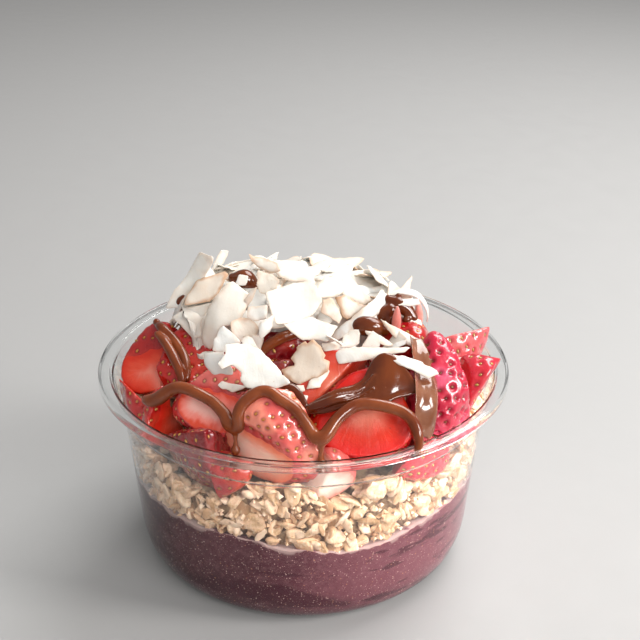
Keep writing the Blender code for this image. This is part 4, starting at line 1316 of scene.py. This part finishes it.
# The ribbon's lighter, greyer tones are painted sheen that stands in for its shine, on top of its real
# gloss
wet_chocolate_and_sheen = sauce_finish("wet_chocolate_sauce_painted_sheen", "#6e3c24", "#94644a", 0.20, 1.0)
OTHER_SAUCE = {"sauce_dollop": dark_chocolate, "sauce_drops": dark_chocolate,
               "sauce_mid": dark_chocolate, "sauce_right": wet_chocolate_and_sheen}


def broad_strand(path):
    """A flat strand that sags towards its edges."""
    rows = []
    for share in np.linspace(-1, 1, 9):
        across = np.array((*BROAD_ACROSS, -BROAD_SAG * share * share))
        rows.append(path[:, :3] + across * path[:, 3:] * share)
    return slab(rows, BROAD_BACK)


def drip(path, x, drop, neck, bulb):
    """A drop that hangs from a cord by a thin neck."""
    x, y, z = path[np.argmin(np.abs(path[:, 0] - x))][:3]
    return cord(through([
        (x, y, z, 1.8), (x, y - 0.5, z - 2.2, neck * 1.5), (x, y - 0.8, z - drop * 0.55, neck),
        (x, y - 0.9, z - drop * 0.8, neck * 1.3), (x, y - 0.9, z - drop, bulb),
        (x, y - 0.9, z - drop - 0.7, bulb * 0.8),
    ]))


def dollop_bodies():
    """The dollop's swollen face with two folds, a thick crest and a rounded lip."""
    crest = through([row[0] for row in DOLLOP_FACE])
    lip = through([row[1] for row in DOLLOP_FACE])
    lip = lip[np.linspace(0, len(lip) - 1, len(crest)).round().astype(int)]
    stations = np.linspace(0, len(crest) - 1, len(DOLLOP_FACE))
    swell = np.interp(np.arange(len(crest)), stations, [row[2] for row in DOLLOP_FACE])
    made = []
    folds = len(crest) * 6 // 10
    for share in (0.34, 0.66):
        fold = (crest + (lip - crest) * share)[2:folds]
        fold += (np.sin(math.pi * share) * swell[2:folds, None] + 1.25) * DOLLOP_OUT
        made.append(cord(np.column_stack([fold, np.linspace(0.95, 0.35, len(fold))])))
    made.append(cord(np.column_stack([crest, np.full(len(crest), 1.15)])))
    made.append(cord(np.column_stack([lip + np.array((0, -0.1, 0.2)), np.full(len(lip), 0.75)])))
    rows = []
    for share in np.linspace(0, 1, 16):
        out = (np.sin(math.pi * share) * swell[:, None] + 0.9 - 0.6 * share) * DOLLOP_OUT
        rows.append(crest + (lip - crest) * share + out)
    return made + [slab(rows, DOLLOP_BACK)]


for name, (draw, cords) in CORDS.items():
    bodies = []
    for waypoints in cords:
        path = through(waypoints)
        if draw is not None:
            path = laid_on(path, fruit_skin, draw)
        bodies.append(broad_strand(path) if name == "sauce_right" else cord(path))
    if name == "sauce_front":
        bodies += [drip(path, *sizes) for sizes in DRIPS]
    if name == "sauce_dollop":
        bodies += dollop_bodies()
    points, faces = melted(bodies, SAUCE_VOXEL, 5)
    sauce = solid(name if name == "sauce_drops" else name + "_glossy", points, faces,
                  OTHER_SAUCE.get(name, milk_chocolate))
    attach(sauce, "root")
    if name != "sauce_drops":
        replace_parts(sauce, name)


# ---------------------------------------------------------------------------------------------
# Coconut. Lightly toasted coconut shaved into thin broad chips with torn edges, some curled,
# heaped loosely over the fruit round an opening in the middle; a smaller core fills the inside.
# ---------------------------------------------------------------------------------------------
COCONUT_WHITE = "#e7e9e6"
COCONUT_CREAM = "#e6e1d8"
COCONUT_CLOUD = "#dcc6b0"
COCONUT_FIBRE = "#f6f2ea"
TOAST_TINT = "#cdb090"
TOAST_BROWN = "#c08c60"
# Tan for the chip edges: partly the torn edge's own colour, partly painted shade that outlines each chip
EDGE_TAN_AND_SHADE = "#c8ab8a"
SKIN_SPECK = "#b08a62"
CHIP_T = 0.85
CHIP_CELL = 1.9
# Points inside a chip's outline: how far in the first row lies, and least distances from the edge
CHIP_INSET = 0.45
INSET_GAP = 0.32
CELL_GAP = 1.2
# Torn edges: share of each edge cut off at its ends, depth and length of the ragged steps
CORNER_CUT = 0.09
TORN_DEPTH = 0.15
TORN_STEP = 0.95
# The chips placed one by one lie this far out, towards the front and up
CHIP_LIFT = 1.5
FRONT = Vector((0.0, -0.87, 0.5))
# Middle x and y of the opening, and its half sizes
open_x, open_y, open_wide, open_long = (-7.0, -31.0, 14.0, 17.0)
# Broken chips laid at random: how many, and their lengths at the back and at the front
SHARD_COUNT = 150
BACK_SHARDS = (9, 19)
FRONT_SHARDS = (6, 10)
SHARDS_FROM = 80.0
# Chip: middle, way it faces, (curl, twist, toast), outline with right and up as seen from outside
CHIPS = {
    "front_wide": ((-18, -41, 92), (-0.1, -0.55, 0.8), (0.012, 0.004, 0.1), (
        (-9.5, 8), (-6, 9.4), (-2.5, 9.5), (2, 8), (7, 3.5), (11.5, -1), (15, -5), (10, -6.5),
        (6, -7.5), (0, -6.5), (-2.5, -4.5), (-2.5, -1.5), (-6, 1), (-9, -1.5), (-10.5, 0.5),
        (-9, 4.5))),
    "front_left": ((-29, -33, 90), (-0.25, -0.85, 0.4), (-0.02, 0.0, 0.1), (
        (-5.5, 3), (-1.5, 4), (1.5, 4), (3, 1.5), (5.5, -1.5), (5.5, -3), (-1, -4.5), (-2.5, -3),
        (-5, -1))),
    "brown_fold": ((0, -36, 92), (-0.25, -0.75, 0.62), (-0.025, 0.004, 0.95), (
        (-5, 1), (-3.5, 4), (-3.8, 5), (-1, 7.5), (0, 6.6), (1.5, 8.5), (4.5, 6.5), (7, 3.6),
        (6.4, 2.6), (8.5, 2), (8.5, -1), (5, -4.5), (3.6, -4.6), (0, -7.5), (-2.5, -7), (-5.5, -5.5),
        (-7.5, -3.5), (-3, -1))),
    "over_berry": ((36, -39, 92), (0.1, -0.55, 0.8), (-0.012, 0.0, 0.2), (
        (-7.5, 6), (-2, 4.3), (3.5, 1.6), (8, -1.5), (9, -3), (5, -4.6), (3, -3), (0.5, -1.2), (-4, 1),
        (-7, 3))),
    "rim_chip": ((57, -16, 82), (0.0, -0.45, 0.9), (0.02, 0.0, 0.1), (
        (-5, 0.5), (-1, 2), (4, 1), (5, -0.5), (1, -1.8), (-3, -1.5))),
    "tall_lean": ((-29, -14, 99), (-0.3, -0.75, 0.55), (-0.03, 0.008, 0.15), (
        (-0.5, 12), (1, 13), (7, 10), (8, 7), (7.5, 0.5), (7, -2), (1.5, -3.5), (0.5, -7), (-0.5, -11),
        (-2.5, -12), (-5.5, -10.5), (-6.5, -8.5), (-6, -3.5), (-5.5, 1), (-4, 5.5), (-1.5, 9.5))),
    "left_shard": ((-39, -5, 93), (-0.35, -0.75, 0.55), (0.015, 0.0, 0.1), (
        (-8.5, -0.5), (-4.5, 3.5), (5, 7.5), (4, 4.5), (3, 0), (4, -5.5), (1, -6.5), (-4.5, -3))),
    "back_tall": ((-39, 8, 105), (-0.35, -0.85, 0.35), (0.02, 0.010, 0.1), (
        (-1, 5.5), (0.5, 8.5), (6.5, 7.5), (6.5, 5), (4, 0.5), (4.5, -4), (3, -10), (-4, -13),
        (-8.5, -13.5), (-7, -7), (-4, -1.5))),
    "toasted_left": ((-35, 2, 102), (-0.2, -0.6, 0.75), (0.0, 0.0, 1.0), (
        (-4.5, 3), (0, 5.5), (5, 8), (6.5, 7), (6, 3), (4.5, -2), (2, -4.5), (-3, -6.5), (-6, -7.5),
        (-6.5, -4))),
    "under_left": ((-27, -24, 94), (-0.15, -0.7, 0.65), (0.02, 0.0, 0.1), (
        (-1.5, 5.5), (1, 4), (6, 0), (4, -1.5), (1, -3), (0, -4.5), (-4, -3.5), (-4, 0.5), (-3, 3))),
    "crown_wide": ((-3, -14, 104), (0.0, -0.5, 0.85), (0.010, 0.004, 0.1), (
        (-10.5, 4), (-3, 7.5), (5.5, 9.5), (7.5, 6), (9.5, 0.5), (6.5, -4.5), (-1, -9), (-6.5, -10),
        (-8.5, -3.5))),
    "crown_back": ((-3, 8, 106), (0.0, -0.45, 0.88), (-0.02, 0.0, 0.2), (
        (-10, 5.5), (-3.5, 6), (3.5, 5), (6, 0), (7.5, -6), (3.5, -4.5), (-2, -4.5), (-6, -1.5))),
    "crown_left": ((-14, 8, 109), (-0.2, -0.6, 0.75), (0.03, 0.0, 0.8), (
        (-6.5, 2.5), (-1.5, 3), (4.5, 1), (7, -2.5), (3.5, -3.5), (-2, -1.5), (-5, 0.5))),
    "crown_right": ((9, -4, 105), (0.15, -0.5, 0.85), (0.02, 0.01, 0.3), (
        (-7.5, -2.5), (-4, 1.5), (0, 6), (5, 3.5), (5.5, -0.5), (3.5, -3.5), (-2.5, -4))),
    "middle_flake": ((3, -27, 99.5), (0.0, -0.6, 0.8), (0.015, 0.0, 0.1), (
        (-10, 1.5), (-5.5, 3.5), (-0.5, 5.5), (3.5, 3.5), (8.5, 1), (7, -1.5), (5, -4.5), (1, -3.5),
        (-3.5, -3.5), (-6.5, -1.5))),
    "long_right": ((20, -14, 99), (0.1, -0.72, 0.68), (-0.05, 0.0, 0.3), (
        (-12, -9), (-12, -7), (-8.5, -3.5), (-1.5, 1), (5.5, 6), (8.5, 10), (11, 8.5), (11.5, 5),
        (6, 0.5), (-1, -3.5), (-7, -7))),
    "wedge_right": ((10, -12, 100), (0.2, -0.7, 0.6), (0.0, 0.0, 0.6), (
        (-2.5, 4.5), (0.5, 5), (2, 1), (3, -3), (1.5, -5), (-1, -2.5), (-4, 0))),
    "upper_right": ((24, 6, 99), (0.25, -0.5, 0.8), (0.012, 0.004, 0.2), (
        (-7, 7), (-3.5, 4), (2, 2), (7, 1.5), (7.5, -2.5), (4, -7.5), (-3.5, -5), (-6.5, 0.5))),
    "mid_upper_right": ((18, 2, 101), (0.1, -0.6, 0.8), (0.02, 0.0, 0.2), (
        (-4, 5), (-1, 7), (2.5, 1.5), (5.5, -4), (3, -6), (-1.5, -3.5), (-4.5, -1))),
    "toasted_strands": ((16, -6, 99), (0.1, -0.6, 0.8), (-0.03, 0.0, 1.0), (
        (-4.5, 4), (-1, 4.5), (3, 2), (7, 0.5), (3.5, -2.5), (-1.5, -5.5), (-3, -4), (-3.5, 0.5))),
    "right_flake_a": ((33, -18, 94.5), (0.2, -0.7, 0.65), (-0.03, 0.0, 0.3), (
        (-5.5, 6), (-2.5, 3), (1.5, 0.5), (8, -3.5), (4, -6), (-1.5, -2.5), (-4, 2))),
    "right_flake_b": ((26, -23, 95), (0.1, -0.6, 0.75), (-0.04, 0.0, 0.4), (
        (-4.5, 3.5), (-1.5, 2.5), (2, 0), (5.5, -3), (1.5, -3), (-2.5, -0.5))),
    "right_chunk": ((39, -11, 93), (0.3, -0.7, 0.6), (0.03, 0.0, 0.1), (
        (-2.5, 2), (1, 4), (3.5, 2), (2, -4.5), (-0.5, -3), (-3.5, -0.5))),
    "long_across": ((22, -33, 94), (0.0, -0.7, 0.7), (-0.004, 0.0, 0.1), (
        (-11.5, 1.5), (-3, 2), (5.5, 2), (14, 2.5), (12, 0.5), (5.5, -0.5), (-1, -2.5), (-10, -3.5),
        (-11, -1.5))),
    "strip_down": ((7, -37, 88.5), (0.25, -0.75, 0.6), (-0.03, 0.0, 0.3), (
        (7, 6.5), (5, 3), (2, 0), (-2, -3.5), (-2.5, -4.5), (-7.5, -4.5), (-5.5, -1.5), (-0.5, 1),
        (4, 4))),
    "fold_chip": ((-20.5, -19, 96), (0.2, -0.8, 0.5), (0.04, 0.01, 0.6), (
        (-5, 3), (-1, 4.5), (3, 3.5), (5, 0), (3.5, -3.5), (0, -4.5), (-4.5, -3))),
    "fold_low": ((-17.5, -22, 92.5), (-0.1, -0.85, 0.4), (-0.03, 0.0, 0.5), (
        (-4, 2), (0, 3), (3.5, 2), (3, -2.5), (-0.5, -3.5), (-3.5, -2))),
    "chip_a": ((-16, -18, 102), (-0.1, -0.75, 0.6), (0.04, 0.0, 0.3), (
        (-3.5, 1.5), (0.5, 2.5), (3.5, 3), (3.5, -2), (-0.5, -3), (-3.5, -2))),
    "chip_b": ((-13, -25, 99.5), (0.1, -0.85, 0.4), (-0.04, 0.0, 0.2), (
        (-2, 2), (3, 4.5), (2.5, 0.5), (1, -1.5), (-1.5, -3.5), (-2.5, -2))),
    "chip_c": ((-18, -32, 97), (0, -0.8, 0.5), (0.03, 0.0, 0.2), (
        (-3, 1), (-1.5, 3), (0.5, 2.5), (2, -0.5), (3.5, -2.5), (0.5, -2.5), (-2, -1.5))),
    "chip_d": ((-19, -11, 104.5), (-0.2, -0.9, 0.3), (0.02, 0.0, 0.4), (
        (-1.5, -0.5), (0.5, 3), (2.5, 4), (1.5, 0), (-1, -4), (-2, -3))),
    "chip_e": ((-24, -40, 85), (0, -0.6, 0.8), (0.0, 0.0, 0.2), (
        (-5, 0.5), (-3.5, 2), (0, 1), (5, 0), (3.5, -1), (0, -2))),
    "chip_f": ((-3, -45, 86), (0, -0.6, 0.8), (0.04, 0.0, 0.2), (
        (-4, -0.5), (-1.5, 2), (3, 2), (3.5, 0), (0.5, -1), (-1.5, -2.5))),
    "chip_g": ((-2, -47, 84), (0, -0.6, 0.8), (0.0, 0.0, 0.1), (
        (-4, 1), (0.5, 2), (3.5, 1.5), (3, -0.5), (-0.5, -2.5), (-2.5, -1.5))),
    "chip_h": ((-13, 0, 105), (-0.1, -0.7, 0.7), (0.03, 0.0, 0.3), (
        (-4, 5), (1.5, 3.5), (4.5, 1), (3.5, -2.5), (1, -4), (-2.5, -3.5), (-4, 0.5))),
    "chip_i": ((16, -28, 97), (0, -0.8, 0.55), (0.04, 0.0, 0.1), (
        (-2.5, 1), (0, 3), (3, 3), (3, -1.5), (0.5, -3), (-3.5, -3))),
    "blob_chunk": ((-22, 0.5, 106.2), (-0.1, -0.8, 0.6), (0.0, 0.0, 0.0), (
        (-2.4, -1.2), (-1.2, 2), (2.2, 1.6), (1.6, -1.8), (-1.4, -2))),
    "loop_chip": ((37, -7, 101), (0.1, -0.7, 0.7), (0.03, 0.0, 0.1), (
        (-4, -1), (-3, 1.6), (1, 1.2), (3.6, 0.8), (3.8, -1.2), (0, -1.8))),
    "chip_j": ((9, -31, 94), (0, -0.85, 0.5), (0.0, 0.0, 0.2), (
        (-3, 2.5), (0.5, 2.5), (3, 1.5), (2.5, -1), (-1, -4), (-2, -1))),
}
# Chips that are pieces of their own, and the node that each stands for
CHIP_NODES = {
    "front_wide": "coconut_chip_1", "front_left": "coconut_chip_2", "brown_fold": "coconut_chip_3",
    "over_berry": "coconut_chip_4", "rim_chip": "coconut_chip_5",
}
# A long shaving that loops over the right of the heap: x, z of its middle line
LOOP = ((30, 100), (32, 102), (35.2, 103), (38.8, 102.6), (41.8, 101), (44.2, 97.6),
        (45.2, 94), (44.8, 90), (43, 86.5))
LOOP_Y = 0.0
LOOP_WIDTH = 5.0
LOOP_ACROSS = (0.1, 1.0, -0.05)
LOOP_BACK = (-0.5, 0, -0.9)


def torn(corners, rng):
    """An outline with its corners cut off and its edges broken into short ragged steps."""
    made = []
    phase = rng.uniform(0, 50)
    soft = []
    for here, on in zip(corners, corners[1:] + corners[:1]):
        for share in (CORNER_CUT, 1 - CORNER_CUT):
            soft.append((here[0] + (on[0] - here[0]) * share, here[1] + (on[1] - here[1]) * share))
    corners = soft
    for here, on in zip(corners, corners[1:] + corners[:1]):
        here, on = np.array(here, float), np.array(on, float)
        length = np.linalg.norm(on - here)
        count = max(1, round(length / TORN_STEP))
        out = np.array((on - here)[::-1]) * (1, -1) / max(length, 0.01)
        deep = TORN_DEPTH * rng.choice((0.5, 1.0, 1.0, 2.2))
        for k in range(count):
            spot = here + (on - here) * k / count
            wave = noise.noise(Vector((spot[0] * 0.35 + phase, spot[1] * 0.35, 0)))
            wave += 0.7 * noise.noise(Vector((spot[0] * 1.1, spot[1] * 1.1 + phase, 4)))
            made.append(spot + out * wave * deep * 1.6)
    return np.array(made)


def edge_gap(spots, outline):
    """Distance of each spot from a closed outline, and whether it is inside."""
    a = outline
    b = np.roll(outline, -1, axis=0)
    along = b - a
    share = ((spots[:, None] - a) * along).sum(2) / np.maximum((along ** 2).sum(1), 1e-9)
    near = a + np.clip(share, 0, 1)[:, :, None] * along
    gap = np.linalg.norm(spots[:, None] - near, axis=2).min(1)
    x, y = spots[:, 0][:, None], spots[:, 1][:, None]
    crosses = (a[:, 1] > y) != (b[:, 1] > y)
    height = np.where(np.abs(along[:, 1]) < 1e-9, 1e-9, along[:, 1])
    at = a[:, 0] + (y - a[:, 1]) * along[:, 0] / height
    return gap, (crosses & (x < at)).sum(1) % 2 == 1


def chip_body(corners, shape, rng, thick):
    """Points, faces and the distance to the edge of one thin chip, bent and a little crumpled."""
    outline = torn(corners, rng)
    low, high = outline.min(0), outline.max(0)
    spots = []
    for row, y in enumerate(np.arange(low[1], high[1], CHIP_CELL * 0.86)):
        spots += [(x + (row % 2) * CHIP_CELL / 2, y) for x in np.arange(low[0], high[0], CHIP_CELL)]
    shifts = [(rng.uniform(-0.3, 0.3), rng.uniform(-0.3, 0.3)) for _ in spots]
    spots = np.array(spots) + np.array(shifts)
    gap, within = edge_gap(spots, outline)
    spots = spots[within & (gap > CELL_GAP)]
    before, after = np.roll(outline, 1, axis=0), np.roll(outline, -1, axis=0)
    inward = (after - before)[:, ::-1] * (-1, 1)
    inward /= np.maximum(np.linalg.norm(inward, axis=1), 1e-6)[:, None]
    area = (outline[:, 0] * after[:, 1] - after[:, 0] * outline[:, 1]).sum()
    inset = outline + inward * (CHIP_INSET if area > 0 else -CHIP_INSET)
    gap, within = edge_gap(inset, outline)
    inset = inset[within & (gap > INSET_GAP)]
    count = len(outline)
    plan = [Vector(spot) for spot in np.concatenate([outline, inset, spots])]
    ring = [(k, (k + 1) % count) for k in range(count)]
    flat, _, triangles, _, _, _ = delaunay_2d_cdt(plan, ring, [], 1, 0.02)
    flat = np.array([tuple(spot) for spot in flat])
    gap, _ = edge_gap(flat, outline)
    curl, twist, _ = shape
    turn = rng.uniform(-0.7, 0.7)
    along = flat[:, 0] * math.cos(turn) + flat[:, 1] * math.sin(turn)
    phase = rng.uniform(0, 60)
    level = curl * along ** 2 + twist * flat[:, 0] * flat[:, 1]
    level += [0.9 * noise.noise(Vector((x * 0.13, y * 0.13, phase)))
              + 0.35 * noise.noise(Vector((x * 0.4, y * 0.4, phase))) for x, y in flat]
    half = thick / 2 * (0.35 + 0.65 * smooth_step(gap, -0.1, 0.55))
    above = np.column_stack([flat, level + half])
    points = np.concatenate([above, np.column_stack([flat, level - half])])
    total = len(flat)
    faces = [tuple(triangle) for triangle in triangles]
    sides = dict.fromkeys((face[k], face[(k + 1) % 3]) for face in faces for k in range(3))
    rim = [side for side in sides if side[::-1] not in sides]
    faces += [tuple(total + k for k in triangle[::-1]) for triangle in faces]
    faces += [(b, a, total + a, total + b) for a, b in rim]
    return points, faces, np.concatenate([gap, gap])


def mark_coconut(piece, gaps, tints, grains):
    """What the coconut finish reads: distance from the edge, shade and toast, way of the fibres."""
    mark(piece, "edge", gaps)
    mark(piece, "chip", tints, "FLOAT_VECTOR")
    mark(piece, "grain", grains, "FLOAT_VECTOR")


class Flakes:
    """Chips gathered to become one mesh, with what their finish reads."""

    def __init__(self):
        self.points, self.faces, self.gaps, self.tints, self.grains = [], [], [], [], []

    def lay(self, corners, shape, middle, normal, roll, rng, thick=CHIP_T):
        points, faces, gap = chip_body(corners, shape, rng, thick)
        normal = Vector(normal).normalized()
        right = Vector((0, 0, 1)).cross(normal)
        right = right.normalized() if right.length > 0.05 else Vector((1, 0, 0))
        up = normal.cross(right)
        if roll:
            turn = Matrix.Rotation(roll, 3, normal)
            right, up = turn @ right, turn @ up
        start = len(self.points)
        self.points += [Vector(middle) + right * x + up * y + normal * z for x, y, z in points]
        self.faces += [tuple(start + k for k in face) for face in faces]
        self.gaps += gap.tolist()
        grain_turn = rng.uniform(-0.5, 0.5)
        tint = rng.random()
        self.tints += [(tint, shape[2], rng.random())] * len(points)
        self.grains += [(x * math.cos(grain_turn) + y * math.sin(grain_turn),
                         (y * math.cos(grain_turn) - x * math.sin(grain_turn)) * 0.12, tint * 40)
                        for x, y, _ in points]

    def finish(self, name):
        made = solid(name, self.points, self.faces, coconut)
        made.data.set_sharp_from_angle(angle=math.radians(50))
        mark_coconut(made, self.gaps, self.tints, self.grains)
        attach(made, "root")
        return made


coconut, tree, shader, place = finish("coconut")
edge = stored(tree, "edge")
chip = add(tree, "SeparateXYZ", {0: stored(tree, "chip", "Vector")}).outputs
grain = stored(tree, "grain", "Vector")
cloud = clouds(tree, place, 160.0)
fine = clouds(tree, place, 1300.0)
fibres = clouds(tree, grain, 1.6, Roughness=0.6)
colour = layered(tree, tone(COCONUT_WHITE), (chip["X"], 0.0, 1.0, 1.0, tone(COCONUT_CREAM)),
                 (cloud, 0.45, 0.72, 0.28, tone(COCONUT_CLOUD)),
                 (fibres, 0.52, 0.78, 0.14, tone(COCONUT_FIBRE)))
browned = calc(tree, "MULTIPLY_ADD", cloud, 3.0, calc(tree, "MULTIPLY", edge, -0.9))
browned = fade(tree, browned, 0.2, 1.6)
colour = mix(tree, calc(tree, "MULTIPLY", chip["Y"], 0.42), colour, tone(TOAST_TINT))
browned = calc(tree, "MULTIPLY", browned, calc(tree, "MULTIPLY_ADD", chip["Y"], 0.60, 0.10))
colour = mix(tree, browned, colour, tone(TOAST_BROWN))
# Edges painted tan: partly the torn edge's colour, partly painted shade that outlines each chip
colour = mix(tree, fade(tree, edge, 0.0, 0.7, 0.16, 0.0), colour, tone(EDGE_TAN_AND_SHADE))
specks = place_group(tree, flecks_of, Place=place, Scale=600.0, Size=0.13, Share=0.14)
colour = mix(tree, calc(tree, "MULTIPLY", specks["Flecks"], 0.35), colour, tone(SKIN_SPECK))
relief = calc(tree, "ADD", calc(tree, "MULTIPLY", fibres, 0.5), calc(tree, "MULTIPLY", fine, 0.30))
dress(tree, shader, {
    "Base Color": colour, "Roughness": fade(tree, cloud, 0.3, 0.7, 0.42, 0.62),
    "Subsurface Weight": 0.35, "Subsurface Radius": (0.0024, 0.0021, 0.0018), "Subsurface Scale": 0.6,
    "Normal": bump(tree, relief, 0.30, 0.0005),
})

rng = random.Random(23)
scattered = Flakes()
for name, (middle, normal, shape, corners) in CHIPS.items():
    middle = Vector(middle) + FRONT * CHIP_LIFT
    if name in CHIP_NODES:
        own = Flakes()
        own.lay(list(corners), shape, middle, normal, 0.0, rng, 1.0)
        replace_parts(own.finish("chip_" + name), CHIP_NODES[name])
    else:
        scattered.lay(list(corners), shape, middle, normal, 0.0, rng, rng.uniform(0.7, 1.0))

placed = BVHTree.FromPolygons(scattered.points, scattered.faces)
heap_mesh = nodes["coconut_heap"].data
heap_faces = sorted(heap_mesh.polygons, key=lambda face: face.index)
areas = [face.area * (1.0 if face.normal.z > -0.1 else 0.0) for face in heap_faces]
laid = 0
while laid < SHARD_COUNT:
    face = rng.choices(heap_faces, areas)[0]
    weights = [rng.random() for _ in face.vertices]
    spot = sum((heap_mesh.vertices[k].co * w for k, w in zip(face.vertices, weights)), Vector())
    spot = spot / sum(weights) / MM
    long_side = rng.uniform(*(BACK_SHARDS if spot.y > -8 else FRONT_SHARDS))
    room = math.hypot((spot.x - open_x) / (open_wide + long_side * 0.35),
                      (spot.y - open_y) / (open_long + long_side * 0.35))
    if room < 1 or spot.z < SHARDS_FROM or (spot.y < 0 and spot.x < -24):
        continue
    if placed.ray_cast(spot + FRONT * 2, -FRONT, 16.0)[0] is not None:
        continue
    kind = rng.random()
    wide = long_side * (rng.uniform(0.5, 0.9) if kind < 0.8 else rng.uniform(0.25, 0.45))
    a, b = long_side / 2, wide / 2
    corners = [(-a, -b), (a, -b * rng.uniform(0.3, 1.1)), (a, b * rng.uniform(0.2, 1.1)), (-a, b)]
    corners = [(x + rng.uniform(-0.25, 0.25) * wide, y + rng.uniform(-0.2, 0.2) * wide)
               for x, y in corners]
    if kind < 0.35:
        corners = corners[:2] + [(a * rng.uniform(1.0, 1.25), rng.uniform(-0.3, 0.3) * b)] + corners[2:]
    # Chips on the crown lie flatter and closer than those on the sides
    loose = 0.13 if spot.z > 98 else 0.30
    normal = face.normal + Vector([rng.gauss(0, loose) for _ in range(3)])
    normal.z += 0.7 if spot.y > 4 else 0.2
    lift = rng.uniform(-1.5, 0.7) - 1.2 * (spot.y < -4) - 1.8 * (spot.x > 14) - 1.6 * (spot.z > 101)
    shape = (rng.uniform(-0.03, 0.03), rng.uniform(-0.01, 0.01), rng.choice((0.0, 0.0, 0.1, 0.2, 0.7)))
    roll = rng.uniform(0, ROLL_MOST)
    thick = rng.uniform(0.55, 0.95)
    scattered.lay(corners, shape, spot + face.normal * lift, normal, roll, rng, thick)
    laid += 1
scattered.finish("coconut_flakes")

loop_path = through([(x, LOOP_Y, z) for x, z in LOOP], 1.0)
rows = []
for share in (-0.5, -0.25, 0.0, 0.25, 0.5):
    shrink = 1 - 0.5 * np.linspace(-1, 1, len(loop_path))[:, None] ** 4
    across = np.array(LOOP_ACROSS) * LOOP_WIDTH * share * shrink
    rows.append(loop_path + across - np.array((0, 0, share ** 2 * 2)))
points, faces = melted([slab(rows, LOOP_BACK)], 0.4, 3)
loop = solid("coconut_loop", points, faces, coconut)
mark_coconut(loop, np.full(len(points), 2.0), [(0.2, 0.2, 0.5)] * len(points), points * (0.3, 1.0, 0.3))
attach(loop, "root")

# Core: broken bits under the chips, drawn in from the heap's outside and from the opening.
core_form = form_of(heap_mesh, 0.01)
rough = bpy.data.meshes.new("heap_core")
core_form.to_mesh(rough)
core_form.free()
form = shaped(rough, ("REMESH", {"mode": "VOXEL", "voxel_size": 1.3}))
points = evened(form, corners_of(form), 2, 0.5)
form.vertices.foreach_set("co", points.ravel())
form.update()
for k, vert in enumerate(form.vertices):
    point = Vector(points[k])
    lump = noise.noise(point * 0.22) + 0.6 * noise.noise(point * 0.55)
    point -= vert.normal * (2.3 - 1.2 * lump + 2.2 * (point.x < -31))
    if point.y < -6:
        # Low at the front, where only fruit and single chips show
        top = 84.0 + 1.5 * lump + max(0.0, (point.y + 12) * 2.5)
        point.z = min(point.z, top - 10.0 * (point.y < (-9 if point.x > 14 else -16)))
    away = Vector(((point.x - open_x) / open_wide, (point.y - open_y) / open_long, 0))
    if 0.01 < away.length < 1 and point.z > 78:
        point.x = open_x + away.x / away.length * open_wide
        point.y = open_y + away.y / away.length * open_long
    points[k] = point
core = solid("coconut_core", points, faces_of(form), coconut)
mark_coconut(core, np.full(len(points), 3.0), [(0.8, 0.3, 0.5)] * len(points), points)
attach(core, "root")
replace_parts(core, "coconut_heap")
